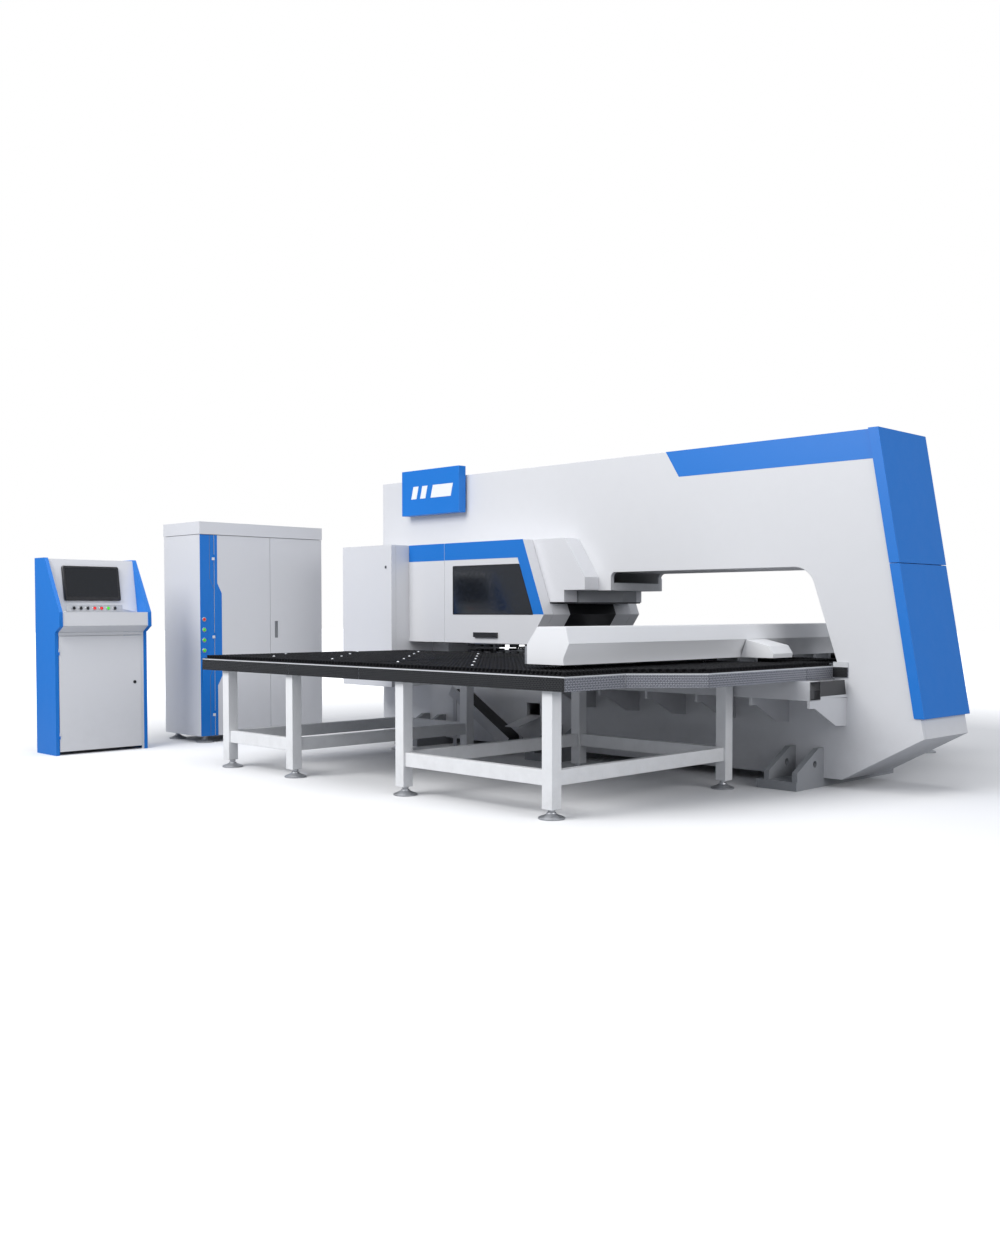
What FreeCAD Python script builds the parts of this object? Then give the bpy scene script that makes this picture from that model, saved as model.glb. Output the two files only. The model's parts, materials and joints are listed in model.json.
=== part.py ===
import FreeCAD, Part
import math
import os
from FreeCAD import Vector

# Turret punch press with a closed O-frame, a servo gantry that feeds the sheet, brush tables on both
# sides, a slug conveyor, a free-standing electrical cabinet and an operator console.
# Millimetres. +X is along the gantry beam, +Y along the frame's side towards its back end, +Z up.
# The origin is on the floor, at the centre of the four anchor holes, in the frame's middle plane.

# ---------------------------------------------------------------- driving dimensions
# O-frame
FRAME_WIDTH = 640.0
FRAME_PLATE = 40.0
WEB = 30.0
BASE_THICK = 59.0
FRAME_TOP = 2360.0
FRAME_BACK = 2650.0
NOSE_TOP_Y = -2316.0
NOSE_LOW_Y = -2675.0
NOSE_LOW_Z = 368.0
HEEL_Y = -2108.0
HEEL_PLATE_RUN = 63.0
DIAPHRAGM_YS = (-1100.0, 350.0, 1150.0)

# Throat and turret chamber, one opening through both side plates
THROAT_FLOOR = 700.0
THROAT_TOP = 1480.0
HEAD_UNDER = 1340.0
THROAT_HEAD_Y = -112.0
THROAT_CORNER_Y = -1847.0
THROAT_LEAN = 0.3375
THROAT_TOP_RADIUS = 165.0
THROAT_LOW_RADIUS = 100.0
HEAD_STEP_RADIUS = 40.0
CHAMBER_BACK = 1750.0
HEAD_LIP = 60.0

# Floor plates and anchors
ANCHOR_X = 600.0
ANCHOR_Y = 1850.0
ANCHOR_HOLE_R = 17.0
BASE_REACH = 341.0
BASE_LENGTH = 304.0
BASE_NEAR_Y = -1972.0
BASE_MIDDLE_Y = 179.0
BASE_BACK_Y = 1783.0
GUSSET_THICK = 40.0
GUSSET_TOP = 263.0
GUSSET_LIP = 60.0
GUSSET_SHOULDER = 68.0
GUSSET_HOLE_R = 22.5
LIFT_HOLE_R = 18.0
LIFT_SPACING_X = 400.0
LIFT_SPACING_Y = 3800.0

# End covers on the sloping front
COVER_LOW_Z = 496.0
COVER_JOINT_Z = 1487.0
COVER_CAP = 7.0
COVER_THICK = 30.0
COVER_SHEET = 12.0
COVER_WRAP = 40.0
COVER_SEAM = 4.0

# Head: ram, hammer block, side covers, name board
RAM_Y = 600.0
RAM_R = 60.0
RAM_LENGTH = 236.0
RAM_STROKE = 37.0
RAM_TO_PUNCH = 3.0
HAMMER_Y = 285.0
HAMMER_HALF = 330.0
HAMMER_CHAMFER = 249.0
HAMMER_DEPTH = 90.0
HAMMER_PLATE = 10.0
HAMMER_PLATE_OUT = 22.0
RAM_BLOCK_HALF = 150.0
RAM_BLOCK_DEPTH = 150.0
HEAD_COVER_OUT = 167.0
HEAD_COVER_BACK_Y = 700.0
HEAD_COVER_NOTCH_Y = 225.0
SIGN_Y0 = 1506.0
SIGN_LENGTH = 754.0
SIGN_HEIGHT = 400.0
SIGN_RISE = 75.0
SIGN_OUT = 100.0
SIGN_GAP = 17.0

# Turret
TURRET_Y = 1080.0
TURRET_R = 550.0
STATION_COUNT = 24
STATION_R = 40.0
UPPER_DISC_Z = 905.0
UPPER_DISC_THICK = 135.0
LOWER_DISC_Z = 740.0
LOWER_DISC_THICK = 90.0
PUNCH_BELOW = 25.0
PUNCH_ABOVE = 20.0
DIE_PROUD = 14.0
SPINDLE_R = 80.0
BEARING_R = 150.0
UPPER_BEARING_LENGTH = 190.0

# Turret guard
GUARD_OUT = 279.0
GUARD_SHEET = 4.0
GUARD_LIP = 30.0
GUARD_BACK_Y = 1958.0
GUARD_SEAM_Y = 1496.0
GUARD_TOP = 1755.0
GUARD_LOW = 915.0
GUARD_NOSE_Y = 337.0
GUARD_NOSE_Z = 1153.0
GUARD_TOP_Y = 567.0
GUARD_LOW_Y = 505.0
NOSE_BLACK_HALF = 288.0
NOSE_TOP_GAP = 2.0
WINDOW_YZ = ((1390.0, 1556.0), (612.0, 1560.0), (456.0, 1150.0), (1390.0, 1150.0))
WINDOW_THICK = 6.0
HANDLE_Y0 = 850.0
HANDLE_Y1 = 1121.0
HANDLE_Z0 = 964.0
HANDLE_Z1 = 1004.0
HANDLE_PROUD = 22.0

# Electrical box on the frame's side
BOX_OUT = 479.0
BOX_DOOR_DEPTH = 49.0
BOX_BACK_Y = 2641.0
BOX_LOW = 518.0
BOX_WALL = 3.0
LOCK_R = 14.0

# Y guides, one each side of the frame
GUIDE_OUT = 465.0
GUIDE_TRAY = 335.0
GUIDE_Y0 = -2139.0
GUIDE_Y1 = 530.0
GUIDE_LOW = 610.0
GUIDE_TOP = 730.0
GUIDE_FLOOR = 20.0
GUIDE_WALL = 8.0
BRACKET_PITCH = 435.0
BRACKET_COUNT = 6
BRACKET_THICK = 20.0
BRACKET_DROP = 190.0
Y_RAIL_OUT = 160.0
Y_RAIL_WIDTH = 45.0
Y_RAIL_HEIGHT = 38.0
Y_RAIL_Y0 = -2100.0
Y_RAIL_Y1 = 430.0
Y_SCREW_OUT = 270.0
Y_SCREW_Z = 672.0
Y_SCREW_R = 20.0
Y_TRAVEL = 1250.0

# Gantry beam, its cover and the X carriage
BEAM_LENGTH = 4858.0
BEAM_Y0 = -1500.0
BEAM_DEPTH = 200.0
BEAM_Z0 = 872.0
BEAM_HEIGHT = 180.0
BEAM_WALL = 10.0
COVER_Z0 = 867.0
COVER_HEIGHT = 221.0
COVER_FRONT_Y = -1561.0
COVER_REAR_Y = -1229.0
COVER_SKIN = 3.0
SADDLE_Y0 = -1750.0
SADDLE_Y1 = -1245.0
SADDLE_IN = 30.0
SADDLE_OUT = 315.0
SADDLE_THICK = 24.0
DRIVE_COVER_OUT0 = 80.0
DRIVE_COVER_OUT1 = 319.0
X_RAIL_WIDTH = 20.0
X_RAIL_HEIGHT = 25.0
X_RAIL_ZS = (885.0, 955.0)
X_SCREW_R = 14.0
X_SCREW_Y = -1250.0
CARRIAGE_LENGTH = 2300.0
CARRIAGE_X0 = -2400.0
CARRIAGE_THICK = 40.0
CARRIAGE_Z0 = 866.0
CARRIAGE_HEIGHT = 106.0
X_TRAVEL = 2500.0
CLAMP_COUNT = 3
CLAMP_WIDTH = 120.0
CLAMP_REACH = 220.0
JAW_OPEN_DEG = 12.0

# Tables
TABLE_GAP = 340.0
TABLE_WIDTH = 1960.0
FAR_TABLE_WIDTH = 1490.0
DOOR_NOTCH = 380.0
DECK_TOP = 815.0
DECK_THICK = 10.0
SKIRT_LOW = 730.0
SKIRT_THICK = 5.0
SKIRT_TAIL = 106.0
TABLE_FRONT_Y = -1700.0
TABLE_WING_Y = -2040.0
TABLE_BACK_Y = 2040.0
WING_OUTER_IN = 529.0
WING_INNER_IN = 880.0
DECK_JOINTS = (120.0, 910.0)
DECK_SEAM = 4.0
BRUSH_TOP = 842.0
BRUSH_INSET = 12.0
BALL_R = 14.0
BALL_CUP_R = 24.0
BALL_TOP = 846.0
LEG = 80.0
LEG_LOW = 55.0
LEG_EDGE_IN = 70.0
LEG_IN_X = -855.0
LEG_YS = ((-1540.0, -255.0), (949.0, 1767.0))
RAIL_LOW = 187.0
RAIL_TOP = 276.0
RAIL_THICK = 50.0
HEAD_RAIL = 60.0
FOOT_R = 77.0
FOOT_EDGE = 10.0
FOOT_DOME = 22.0
STUD_R = 12.0

# Slug conveyor beside the frame, rising towards the back
CONVEYOR_OUT = 300.0
CONVEYOR_WIDTH = 170.0
CONVEYOR_LOW = (780.0, 138.0)
CONVEYOR_HIGH = (1350.0, 479.0)
CONVEYOR_SIDE = 90.0
CONVEYOR_SHEET = 6.0
ROLLER_R = 36.0
ROLLER_FIT = 0.5
BELT = 4.0
ROLLER_PIN_R = 10.0
CHUTE_YS = (640.0, 790.0)
CHUTE_WINDOW_Z = (296.0, 420.0)
CHUTE_DROP = 60.0
CHUTE_LIFT = 16.0
CHUTE_SHEET = 6.0

# Electrical cabinet
CAB_X0 = -1850.0
CAB_WIDTH = 1331.0
CAB_Y0 = 3340.0
CAB_DEPTH = 615.0
CAB_LOW = 62.0
CAB_TOP = 1860.0
CAP_HEIGHT = 115.0
CAB_WALL = 3.0
CAB_DOOR = 22.0
CAB_FIXED = 146.0
CAB_SEAM_X = -1109.0
CAB_GAP = 4.0
CAB_BUTTON_X = -1812.0
CAB_BUTTON_ZS = (1105.0, 1013.0, 921.0, 829.0)
BUTTON_R = 13.0
BUTTON_PROUD = 9.0
BUTTON_TRAVEL = 5.0
BUTTON_GAP = 0.4

# Operator console
CON_X0 = -3193.0
CON_WIDTH = 816.0
CON_SIDE = 30.0
CON_FRONT_Y = 3334.0
CON_BACK_Y = 3690.0
CON_LIP_Y = 3246.0
CON_TOP = 1619.0
CON_TOP_Y = 3506.0
CON_DESK_Z = 1171.0
CON_APRON_Z = 1055.0
CON_KNEE_Z = 1003.0
CON_FLOOR = 0.0
CON_PANEL = 4.0
CON_DOOR_Z0 = 30.0
CON_DOOR_Z1 = 975.0
CON_DOOR_THICK = 22.0
CON_FACE_RUN = 75.0
MONITOR_WIDTH = 500.0
MONITOR_HEIGHT = 292.0
MONITOR_OFFSET = 138.0
MONITOR_THICK = 24.0
STRIP_HEIGHT = 58.0
STRIP_WIDTH = 500.0
STRIP_OFFSET = 151.0
CONTROL_OFFSET = 216.0
CONTROL_PITCH = 60.7
CONTROL_COUNT = 7

# Lift-off hinges of the doors
HINGE_R = 4.0
HINGE_PIN_R = 2.0
HINGE_HALF = 25.0
HINGE_LEAF = 21.0
HINGE_PLATE = 2.0
HINGE_STAND = 4.5

# Clearances
RUN_FIT = 0.3
PIN_FIT = 0.1
HINGE_GAP = 0.5
PANEL_GAP = 2.0

HALF = FRAME_WIDTH / 2
INNER = HALF - FRAME_PLATE
GUARD_X = HALF + GUARD_OUT
HEAD_COVER_X = HALF + HEAD_COVER_OUT
TABLE_IN = HALF + TABLE_GAP
TABLE_OUT = TABLE_IN + TABLE_WIDTH
FAR_TABLE_OUT = TABLE_IN + FAR_TABLE_WIDTH

nodes = {}


# ---------------------------------------------------------------- building helpers
def box(xs, ys, zs):
    """A block between two x, two y and two z values, given in any order."""
    low = Vector(min(xs), min(ys), min(zs))
    size = [abs(span[1] - span[0]) for span in (xs, ys, zs)]
    return Part.makeBox(size[0], size[1], size[2], low)


def rod(radius, start, direction, length):
    """A cylinder from start along direction."""
    return Part.makeCylinder(radius, length, Vector(*start), Vector(*direction))


def outline(points, radii=None):
    """A closed wire through 3-D points, with tangent arcs at corners that have a radius."""
    corners = [Vector(*point) for point in points]
    radii = radii or {}
    count = len(corners)
    stops = []
    for index, corner in enumerate(corners):
        radius = radii.get(index, 0.0)
        if radius <= 0.0:
            stops.append((corner, None, corner))
            continue
        back = (corners[index - 1] - corner).normalize()
        ahead = (corners[(index + 1) % count] - corner).normalize()
        half_angle = back.getAngle(ahead) / 2
        reach = radius / math.tan(half_angle)
        inward = (back + ahead).normalize()
        middle = corner + inward * (radius / math.sin(half_angle) - radius)
        stops.append((corner + back * reach, middle, corner + ahead * reach))
    edges = []
    for index, (first, middle, last) in enumerate(stops):
        if middle is not None:
            edges.append(Part.Arc(first, middle, last).toShape())
        following = stops[(index + 1) % count][0]
        if last.distanceToPoint(following) > 1e-6:
            edges.append(Part.LineSegment(last, following).toShape())
    return Part.Wire(edges)


def prism_x(points, x0, x1, radii=None):
    """An outline of (y, z) points carried from x0 to x1."""
    face = Part.Face(outline([(x0, y, z) for y, z in points], radii))
    return face.extrude(Vector(x1 - x0, 0, 0))


def prism_y(points, y0, y1, radii=None):
    """An outline of (x, z) points carried from y0 to y1."""
    face = Part.Face(outline([(x, y0, z) for x, z in points], radii))
    return face.extrude(Vector(0, y1 - y0, 0))


def prism_z(points, z0, z1, radii=None):
    """An outline of (x, y) points carried from z0 to z1."""
    face = Part.Face(outline([(x, y, z0) for x, y in points], radii))
    return face.extrude(Vector(0, 0, z1 - z0))


def inset(points, distance):
    """The outline's points moved inwards by a distance, for straight-sided outlines."""
    area = 0.0
    count = len(points)
    for index, (a, b) in enumerate(points):
        c, d = points[(index + 1) % count]
        area += a * d - c * b
    turn = 1.0 if area > 0 else -1.0
    moved = []
    for index, (a, b) in enumerate(points):
        before = points[index - 1]
        after = points[(index + 1) % count]
        d1 = (a - before[0], b - before[1])
        d2 = (after[0] - a, after[1] - b)
        l1 = math.hypot(*d1)
        l2 = math.hypot(*d2)
        n1 = (-d1[1] / l1 * turn, d1[0] / l1 * turn)
        n2 = (-d2[1] / l2 * turn, d2[0] / l2 * turn)
        grow = distance / (1 + n1[0] * n2[0] + n1[1] * n2[1])
        moved.append((a + (n1[0] + n2[0]) * grow, b + (n1[1] + n2[1]) * grow))
    return moved


def tray_x(points, closed_x, open_x, sheet):
    """A folded sheet tray: a panel at closed_x with edges that run to open_x, which is open."""
    step = sheet if open_x > closed_x else -sheet
    outer = prism_x(points, closed_x, open_x)
    hollow = prism_x(inset(points, sheet), closed_x + step, open_x + step)
    return outer.cut(hollow)


def shell_box(xs, ys, zs, wall, open_side):
    """Five separate panels of a box that is open on one side: '-x', '+x', '-y' or '+y'."""
    x0, x1 = min(xs), max(xs)
    y0, y1 = min(ys), max(ys)
    z0, z1 = min(zs), max(zs)
    inner_z = (z0 + wall, z1 - wall)
    panels = [box((x0, x1), (y0, y1), (z0, z0 + wall)), box((x0, x1), (y0, y1), (z1 - wall, z1))]
    across_x = open_side in ("-y", "+y")
    for side in ("-x", "+x"):
        if side != open_side:
            span = (x0, x0 + wall) if side == "-x" else (x1 - wall, x1)
            panels.append(box(span, (y0, y1) if across_x else (y0 + wall, y1 - wall), inner_z))
    for side in ("-y", "+y"):
        if side != open_side:
            span = (y0, y0 + wall) if side == "-y" else (y1 - wall, y1)
            panels.append(box((x0 + wall, x1 - wall) if across_x else (x0, x1), span, inner_z))
    return panels


def far(shape):
    """The same piece on the other side of the frame."""
    return shape.mirror(Vector(0, 0, 0), Vector(1, 0, 0))


def both(shapes):
    """Each piece, and its match on the other side of the frame."""
    return list(shapes) + [far(shape) for shape in shapes]


def near_x(out):
    """The x of a plane that stands out from the near side plate by a distance."""
    return -(HALF + out)


def nose_y(z):
    """The y of the frame's sloping front at height z."""
    share = (FRAME_TOP - z) / (FRAME_TOP - NOSE_LOW_Z)
    return NOSE_TOP_Y + share * (NOSE_LOW_Y - NOSE_TOP_Y)


def throat_y(z):
    """The y of the throat's sloping front edge at height z."""
    return THROAT_CORNER_Y - (THROAT_TOP - z) * THROAT_LEAN


def hinge(point, side, out, upward):
    """A lift-off hinge: the fixed half with its pin, and the door's half on top of it.

    point is on the seam, side points across it to the door, out is the face's normal, and upward is the
    sign that turns side x out upwards.
    """
    reach = upward * HINGE_HALF
    fixed = rod(HINGE_R, (0, HINGE_STAND, 0), (0, 0, -upward), HINGE_HALF)
    fixed = fixed.fuse(box((0, -HINGE_LEAF), (0, HINGE_PLATE), (0, -reach)))
    fixed = fixed.fuse(rod(HINGE_PIN_R, (0, HINGE_STAND, -upward), (0, 0, upward), HINGE_HALF))
    foot_z = upward * HINGE_GAP
    moving = rod(HINGE_R, (0, HINGE_STAND, foot_z), (0, 0, upward), HINGE_HALF - HINGE_GAP)
    moving = moving.fuse(box((0, HINGE_LEAF), (0, HINGE_PLATE), (foot_z, reach)))
    moving = moving.cut(rod(HINGE_PIN_R + PIN_FIT, (0, HINGE_STAND, 0), (0, 0, upward), HINGE_HALF + 1))
    turn = FreeCAD.Rotation(Vector(*side), Vector(*out), Vector(*side).cross(Vector(*out)), "XYZ")
    halves = []
    for half in (fixed, moving):
        half = half.removeSplitter()
        half.Placement = FreeCAD.Placement(Vector(*point), turn)
        halves.append(half)
    return halves


def hinges(points, side, out, upward):
    """The fixed halves and the door's halves of several hinges on one axis."""
    pairs = [hinge(point, side, out, upward) for point in points]
    return [pair[0] for pair in pairs], [pair[1] for pair in pairs]


def add(name, shapes):
    """Stores the solids of one sub-part."""
    nodes[name] = list(shapes)


# ---------------------------------------------------------------- O-frame
def frame_profile():
    return [
        (FRAME_BACK, BASE_THICK),
        (FRAME_BACK, FRAME_TOP),
        (NOSE_TOP_Y, FRAME_TOP),
        (NOSE_LOW_Y, NOSE_LOW_Z),
        (HEEL_Y, BASE_THICK),
    ]


def throat_profile():
    points = [
        (CHAMBER_BACK, THROAT_FLOOR),
        (CHAMBER_BACK, HEAD_UNDER),
        (THROAT_HEAD_Y, HEAD_UNDER),
        (THROAT_HEAD_Y, THROAT_TOP),
        (THROAT_CORNER_Y, THROAT_TOP),
        (throat_y(THROAT_FLOOR), THROAT_FLOOR),
    ]
    return points, {3: HEAD_STEP_RADIUS, 4: THROAT_TOP_RADIUS, 5: THROAT_LOW_RADIUS}


def chute_window(x0, x1):
    return box((x0, x1), CHUTE_YS, CHUTE_WINDOW_Z)


def side_plate():
    points, radii = throat_profile()
    plate = prism_x(frame_profile(), -HALF, -INNER)
    return plate.cut(prism_x(points, -HALF - 1, -INNER + 1, radii))


def throat_corner_liner():
    """The curved liner plate in the throat's upper front corner."""
    lean = math.atan(THROAT_LEAN)
    reach = THROAT_TOP_RADIUS * math.tan((math.pi / 2 - lean) / 2)
    centre = (THROAT_CORNER_Y + reach, THROAT_TOP - THROAT_TOP_RADIUS)
    start = (-INNER, centre[0], centre[1])
    ring = rod(THROAT_TOP_RADIUS + WEB, start, (1, 0, 0), 2 * INNER)
    ring = ring.cut(rod(THROAT_TOP_RADIUS, start, (1, 0, 0), 2 * INNER))
    far_out = 2 * THROAT_TOP_RADIUS
    tangent = (centre[0] - far_out * math.cos(lean), centre[1] + far_out * math.sin(lean))
    wedge = [centre, (centre[0], centre[1] + far_out), (centre[0] - far_out, centre[1] + far_out), tangent]
    tangent_z = centre[1] + THROAT_TOP_RADIUS * math.sin(lean)
    return ring.common(prism_x(wedge, -INNER, INNER)), centre[0], tangent_z


def frame_webs():
    across = (-INNER, INNER)
    shift = WEB * math.hypot(1, THROAT_LEAN)
    nose_run = WEB * 1.03
    corner, top_start, slope_top = throat_corner_liner()
    slope_low = THROAT_FLOOR + 60
    nose = [
        (nose_y(FRAME_TOP), FRAME_TOP),
        (nose_y(FRAME_TOP) + nose_run, FRAME_TOP),
        (NOSE_LOW_Y + nose_run, NOSE_LOW_Z),
        (NOSE_LOW_Y, NOSE_LOW_Z),
    ]
    heel = [
        (NOSE_LOW_Y, NOSE_LOW_Z),
        (NOSE_LOW_Y + HEEL_PLATE_RUN, NOSE_LOW_Z),
        (HEEL_Y + HEEL_PLATE_RUN, BASE_THICK),
        (HEEL_Y, BASE_THICK),
    ]
    slope = [
        (throat_y(slope_top), slope_top),
        (throat_y(slope_top) - shift, slope_top),
        (throat_y(slope_low) - shift, slope_low),
        (throat_y(slope_low), slope_low),
    ]
    top = box(across, (nose_y(FRAME_TOP) + nose_run, FRAME_BACK), (FRAME_TOP - WEB, FRAME_TOP))
    for dx in (-LIFT_SPACING_X / 2, LIFT_SPACING_X / 2):
        for dy in (-LIFT_SPACING_Y / 2, LIFT_SPACING_Y / 2):
            top = top.cut(rod(LIFT_HOLE_R, (dx, dy, FRAME_TOP - WEB - 1), (0, 0, 1), WEB + 2))
    floor_y0 = throat_y(THROAT_FLOOR) + THROAT_LOW_RADIUS
    floor = box(across, (floor_y0, CHAMBER_BACK), (THROAT_FLOOR - WEB, THROAT_FLOOR))
    floor = floor.cut(rod(RAM_R + 10, (0, RAM_Y, THROAT_FLOOR - WEB - 1), (0, 0, 1), WEB + 2))
    under = box(across, (THROAT_HEAD_Y + WEB, CHAMBER_BACK + WEB), (HEAD_UNDER, HEAD_UNDER + WEB))
    under = under.cut(rod(RAM_R + 10, (0, RAM_Y, HEAD_UNDER - 1), (0, 0, 1), WEB + 2))
    webs = [
        top,
        box(across, (FRAME_BACK - WEB, FRAME_BACK), (BASE_THICK, FRAME_TOP - WEB)),
        box(across, (HEEL_Y + HEEL_PLATE_RUN, FRAME_BACK - WEB), (BASE_THICK, BASE_THICK + WEB)),
        prism_x(nose, *across),
        prism_x(heel, *across),
        floor,
        prism_x(slope, *across),
        corner,
        box(across, (top_start, THROAT_HEAD_Y), (THROAT_TOP, THROAT_TOP + WEB)),
        box(across, (THROAT_HEAD_Y, THROAT_HEAD_Y + WEB), (HEAD_UNDER, HEAD_UNDER + HEAD_LIP)),
        under,
        box(across, (CHAMBER_BACK, CHAMBER_BACK + WEB), (THROAT_FLOOR - WEB, HEAD_UNDER)),
    ]
    for y in DIAPHRAGM_YS:
        head_low = THROAT_TOP + WEB if y < THROAT_HEAD_Y else HEAD_UNDER + WEB
        webs.append(box(across, (y, y + WEB), (head_low, FRAME_TOP - WEB)))
        webs.append(box(across, (y, y + WEB), (BASE_THICK + WEB, THROAT_FLOOR - WEB)))
    return webs


def gusset(y):
    top = [
        (-HALF, BASE_THICK),
        (near_x(BASE_REACH - 10), BASE_THICK),
        (near_x(BASE_REACH - 10), BASE_THICK + GUSSET_LIP),
        (near_x(GUSSET_SHOULDER), GUSSET_TOP),
        (-HALF, GUSSET_TOP),
    ]
    plate = prism_y(top, y, y + GUSSET_THICK)
    hole = (near_x(BASE_REACH / 3), y - 1, (BASE_THICK + GUSSET_TOP) / 2)
    return plate.cut(rod(GUSSET_HOLE_R, hole, (0, 1, 0), GUSSET_THICK + 2))


def base_plate(y0, anchor_y):
    plate = box((-HALF - BASE_REACH, HALF + BASE_REACH), (y0, y0 + BASE_LENGTH), (0, BASE_THICK))
    for x in (-ANCHOR_X, ANCHOR_X):
        plate = plate.cut(rod(ANCHOR_HOLE_R, (x, anchor_y, -1), (0, 0, 1), BASE_THICK + 2))
    gussets = both([gusset(y0), gusset(y0 + BASE_LENGTH - GUSSET_THICK - 50)])
    return [plate] + gussets


def end_cover(z_low, z_high):
    """A folded cover over the sloping front, with a flange on each side face."""
    lean = (NOSE_TOP_Y - NOSE_LOW_Y) / (FRAME_TOP - NOSE_LOW_Z)
    out = COVER_THICK * math.hypot(1, lean)
    wrap = COVER_WRAP * math.hypot(1, lean)
    front = [(nose_y(z_high) - out, z_high), (nose_y(z_high), z_high),
             (nose_y(z_low), z_low), (nose_y(z_low) - out, z_low)]
    flange = [(nose_y(z_high) - out, z_high), (nose_y(z_high) + wrap, z_high),
              (nose_y(z_low) + wrap, z_low), (nose_y(z_low) - out, z_low)]
    side = HALF + COVER_SHEET
    cover = prism_x(front, -side, side)
    folds = [prism_x(flange, -side, -HALF), prism_x(flange, HALF, side)]
    if z_high > FRAME_TOP:
        folds.append(box((-side, side), (nose_y(FRAME_TOP) - 1, nose_y(z_high) + wrap), (FRAME_TOP, z_high)))
    return cover.multiFuse(folds).removeSplitter()


near_plate = side_plate()
add("frame_plate_near", [near_plate.cut(chute_window(-HALF - 1, -INNER + 1))])
add("frame_plate_far", [far(near_plate)])
add("frame_web_plates", frame_webs())
base_middle_anchor = BASE_MIDDLE_Y + BASE_LENGTH / 2
add("base_plates", base_plate(BASE_NEAR_Y, -ANCHOR_Y) + base_plate(BASE_BACK_Y, ANCHOR_Y)
    + base_plate(BASE_MIDDLE_Y, base_middle_anchor))
add("end_cover_upper", [end_cover(COVER_JOINT_Z + COVER_SEAM / 2, FRAME_TOP + COVER_CAP)])
add("end_cover_lower", [end_cover(COVER_LOW_Z, COVER_JOINT_Z - COVER_SEAM / 2)])


# ---------------------------------------------------------------- head, ram and turret
def octagon(half, chamfer, centre_y):
    flat = half - chamfer
    corners = [(-half, -flat), (-flat, -half), (flat, -half), (half, -flat),
               (half, flat), (flat, half), (-flat, half), (-half, flat)]
    return [(x, centre_y + y) for x, y in corners]


hammer_low = HEAD_UNDER - HAMMER_DEPTH
plate_low = hammer_low - HAMMER_PLATE
ram_block_low = HEAD_UNDER - RAM_BLOCK_DEPTH
hammer = prism_z(octagon(HAMMER_HALF, HAMMER_CHAMFER, HAMMER_Y), hammer_low, HEAD_UNDER)
plate_corners = octagon(HAMMER_HALF + HAMMER_PLATE_OUT, HAMMER_CHAMFER, HAMMER_Y)
hammer = hammer.fuse(prism_z(plate_corners, plate_low, hammer_low))
ram_block_ys = (RAM_Y - RAM_BLOCK_HALF, RAM_Y + RAM_BLOCK_HALF)
hammer = hammer.fuse(box((-RAM_BLOCK_HALF, RAM_BLOCK_HALF), ram_block_ys, (ram_block_low, HEAD_UNDER)))
hammer = hammer.cut(rod(RAM_R + RUN_FIT, (0, RAM_Y, ram_block_low - 1), (0, 0, 1), RAM_BLOCK_DEPTH + 2))
add("hammer_housing", [hammer.removeSplitter()])

punch_top = UPPER_DISC_Z + UPPER_DISC_THICK + PUNCH_ABOVE
ram_low = punch_top + RAM_TO_PUNCH + RAM_STROKE
add("ram", [rod(RAM_R, (0, RAM_Y, ram_low), (0, 0, 1), RAM_LENGTH)])

press_seat = HEAD_UNDER + WEB
press_motor = rod(150, (0, RAM_Y, press_seat + 220), (0, 0, 1), 320)
press_gearbox = box((-180, 180), (RAM_Y - 180, RAM_Y + 180), (press_seat, press_seat + 220))
add("press_drive", [press_gearbox, press_motor])

station_radius = TURRET_Y - RAM_Y
lower_top = LOWER_DISC_Z + LOWER_DISC_THICK


def stations():
    """The centres of the tool stations on the turret's pitch circle, the first under the ram."""
    for index in range(STATION_COUNT):
        angle = -math.pi / 2 + 2 * math.pi * index / STATION_COUNT
        yield station_radius * math.cos(angle), TURRET_Y + station_radius * math.sin(angle)


def turret_disc(z0, thickness):
    disc = rod(TURRET_R, (0, TURRET_Y, z0), (0, 0, 1), thickness)
    holes = [rod(STATION_R + RUN_FIT, (x, y, z0 - 1), (0, 0, 1), thickness + 2) for x, y in stations()]
    return disc.cut(Part.makeCompound(holes))


upper_top = UPPER_DISC_Z + UPPER_DISC_THICK
bearing_low = HEAD_UNDER - UPPER_BEARING_LENGTH
upper_spindle = rod(SPINDLE_R, (0, TURRET_Y, upper_top), (0, 0, 1), HEAD_UNDER - 4 - upper_top)
lower_spindle = rod(SPINDLE_R, (0, TURRET_Y, THROAT_FLOOR + 2), (0, 0, 1), LOWER_DISC_Z - THROAT_FLOOR - 2)
add("upper_turret", [turret_disc(UPPER_DISC_Z, UPPER_DISC_THICK), upper_spindle])
add("lower_turret", [turret_disc(LOWER_DISC_Z, LOWER_DISC_THICK), lower_spindle])
punch_low = UPPER_DISC_Z - PUNCH_BELOW
die_low = LOWER_DISC_Z + 10
die_top = lower_top + DIE_PROUD
add("punches", [rod(STATION_R, (x, y, punch_low), (0, 0, 1), punch_top - punch_low) for x, y in stations()])
add("dies", [rod(STATION_R, (x, y, die_low), (0, 0, 1), die_top - die_low) for x, y in stations()])


def bearing_ring(z0, z1):
    ring = rod(BEARING_R, (0, TURRET_Y, z0), (0, 0, 1), z1 - z0)
    return ring.cut(rod(SPINDLE_R + RUN_FIT, (0, TURRET_Y, z0 - 1), (0, 0, 1), z1 - z0 + 2))


lower_bearing_top = LOWER_DISC_Z - 5
upper_bearing = bearing_ring(bearing_low, HEAD_UNDER)
lower_bearing = bearing_ring(THROAT_FLOOR, lower_bearing_top)
add("turret_bearings", [upper_bearing, lower_bearing])

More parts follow.
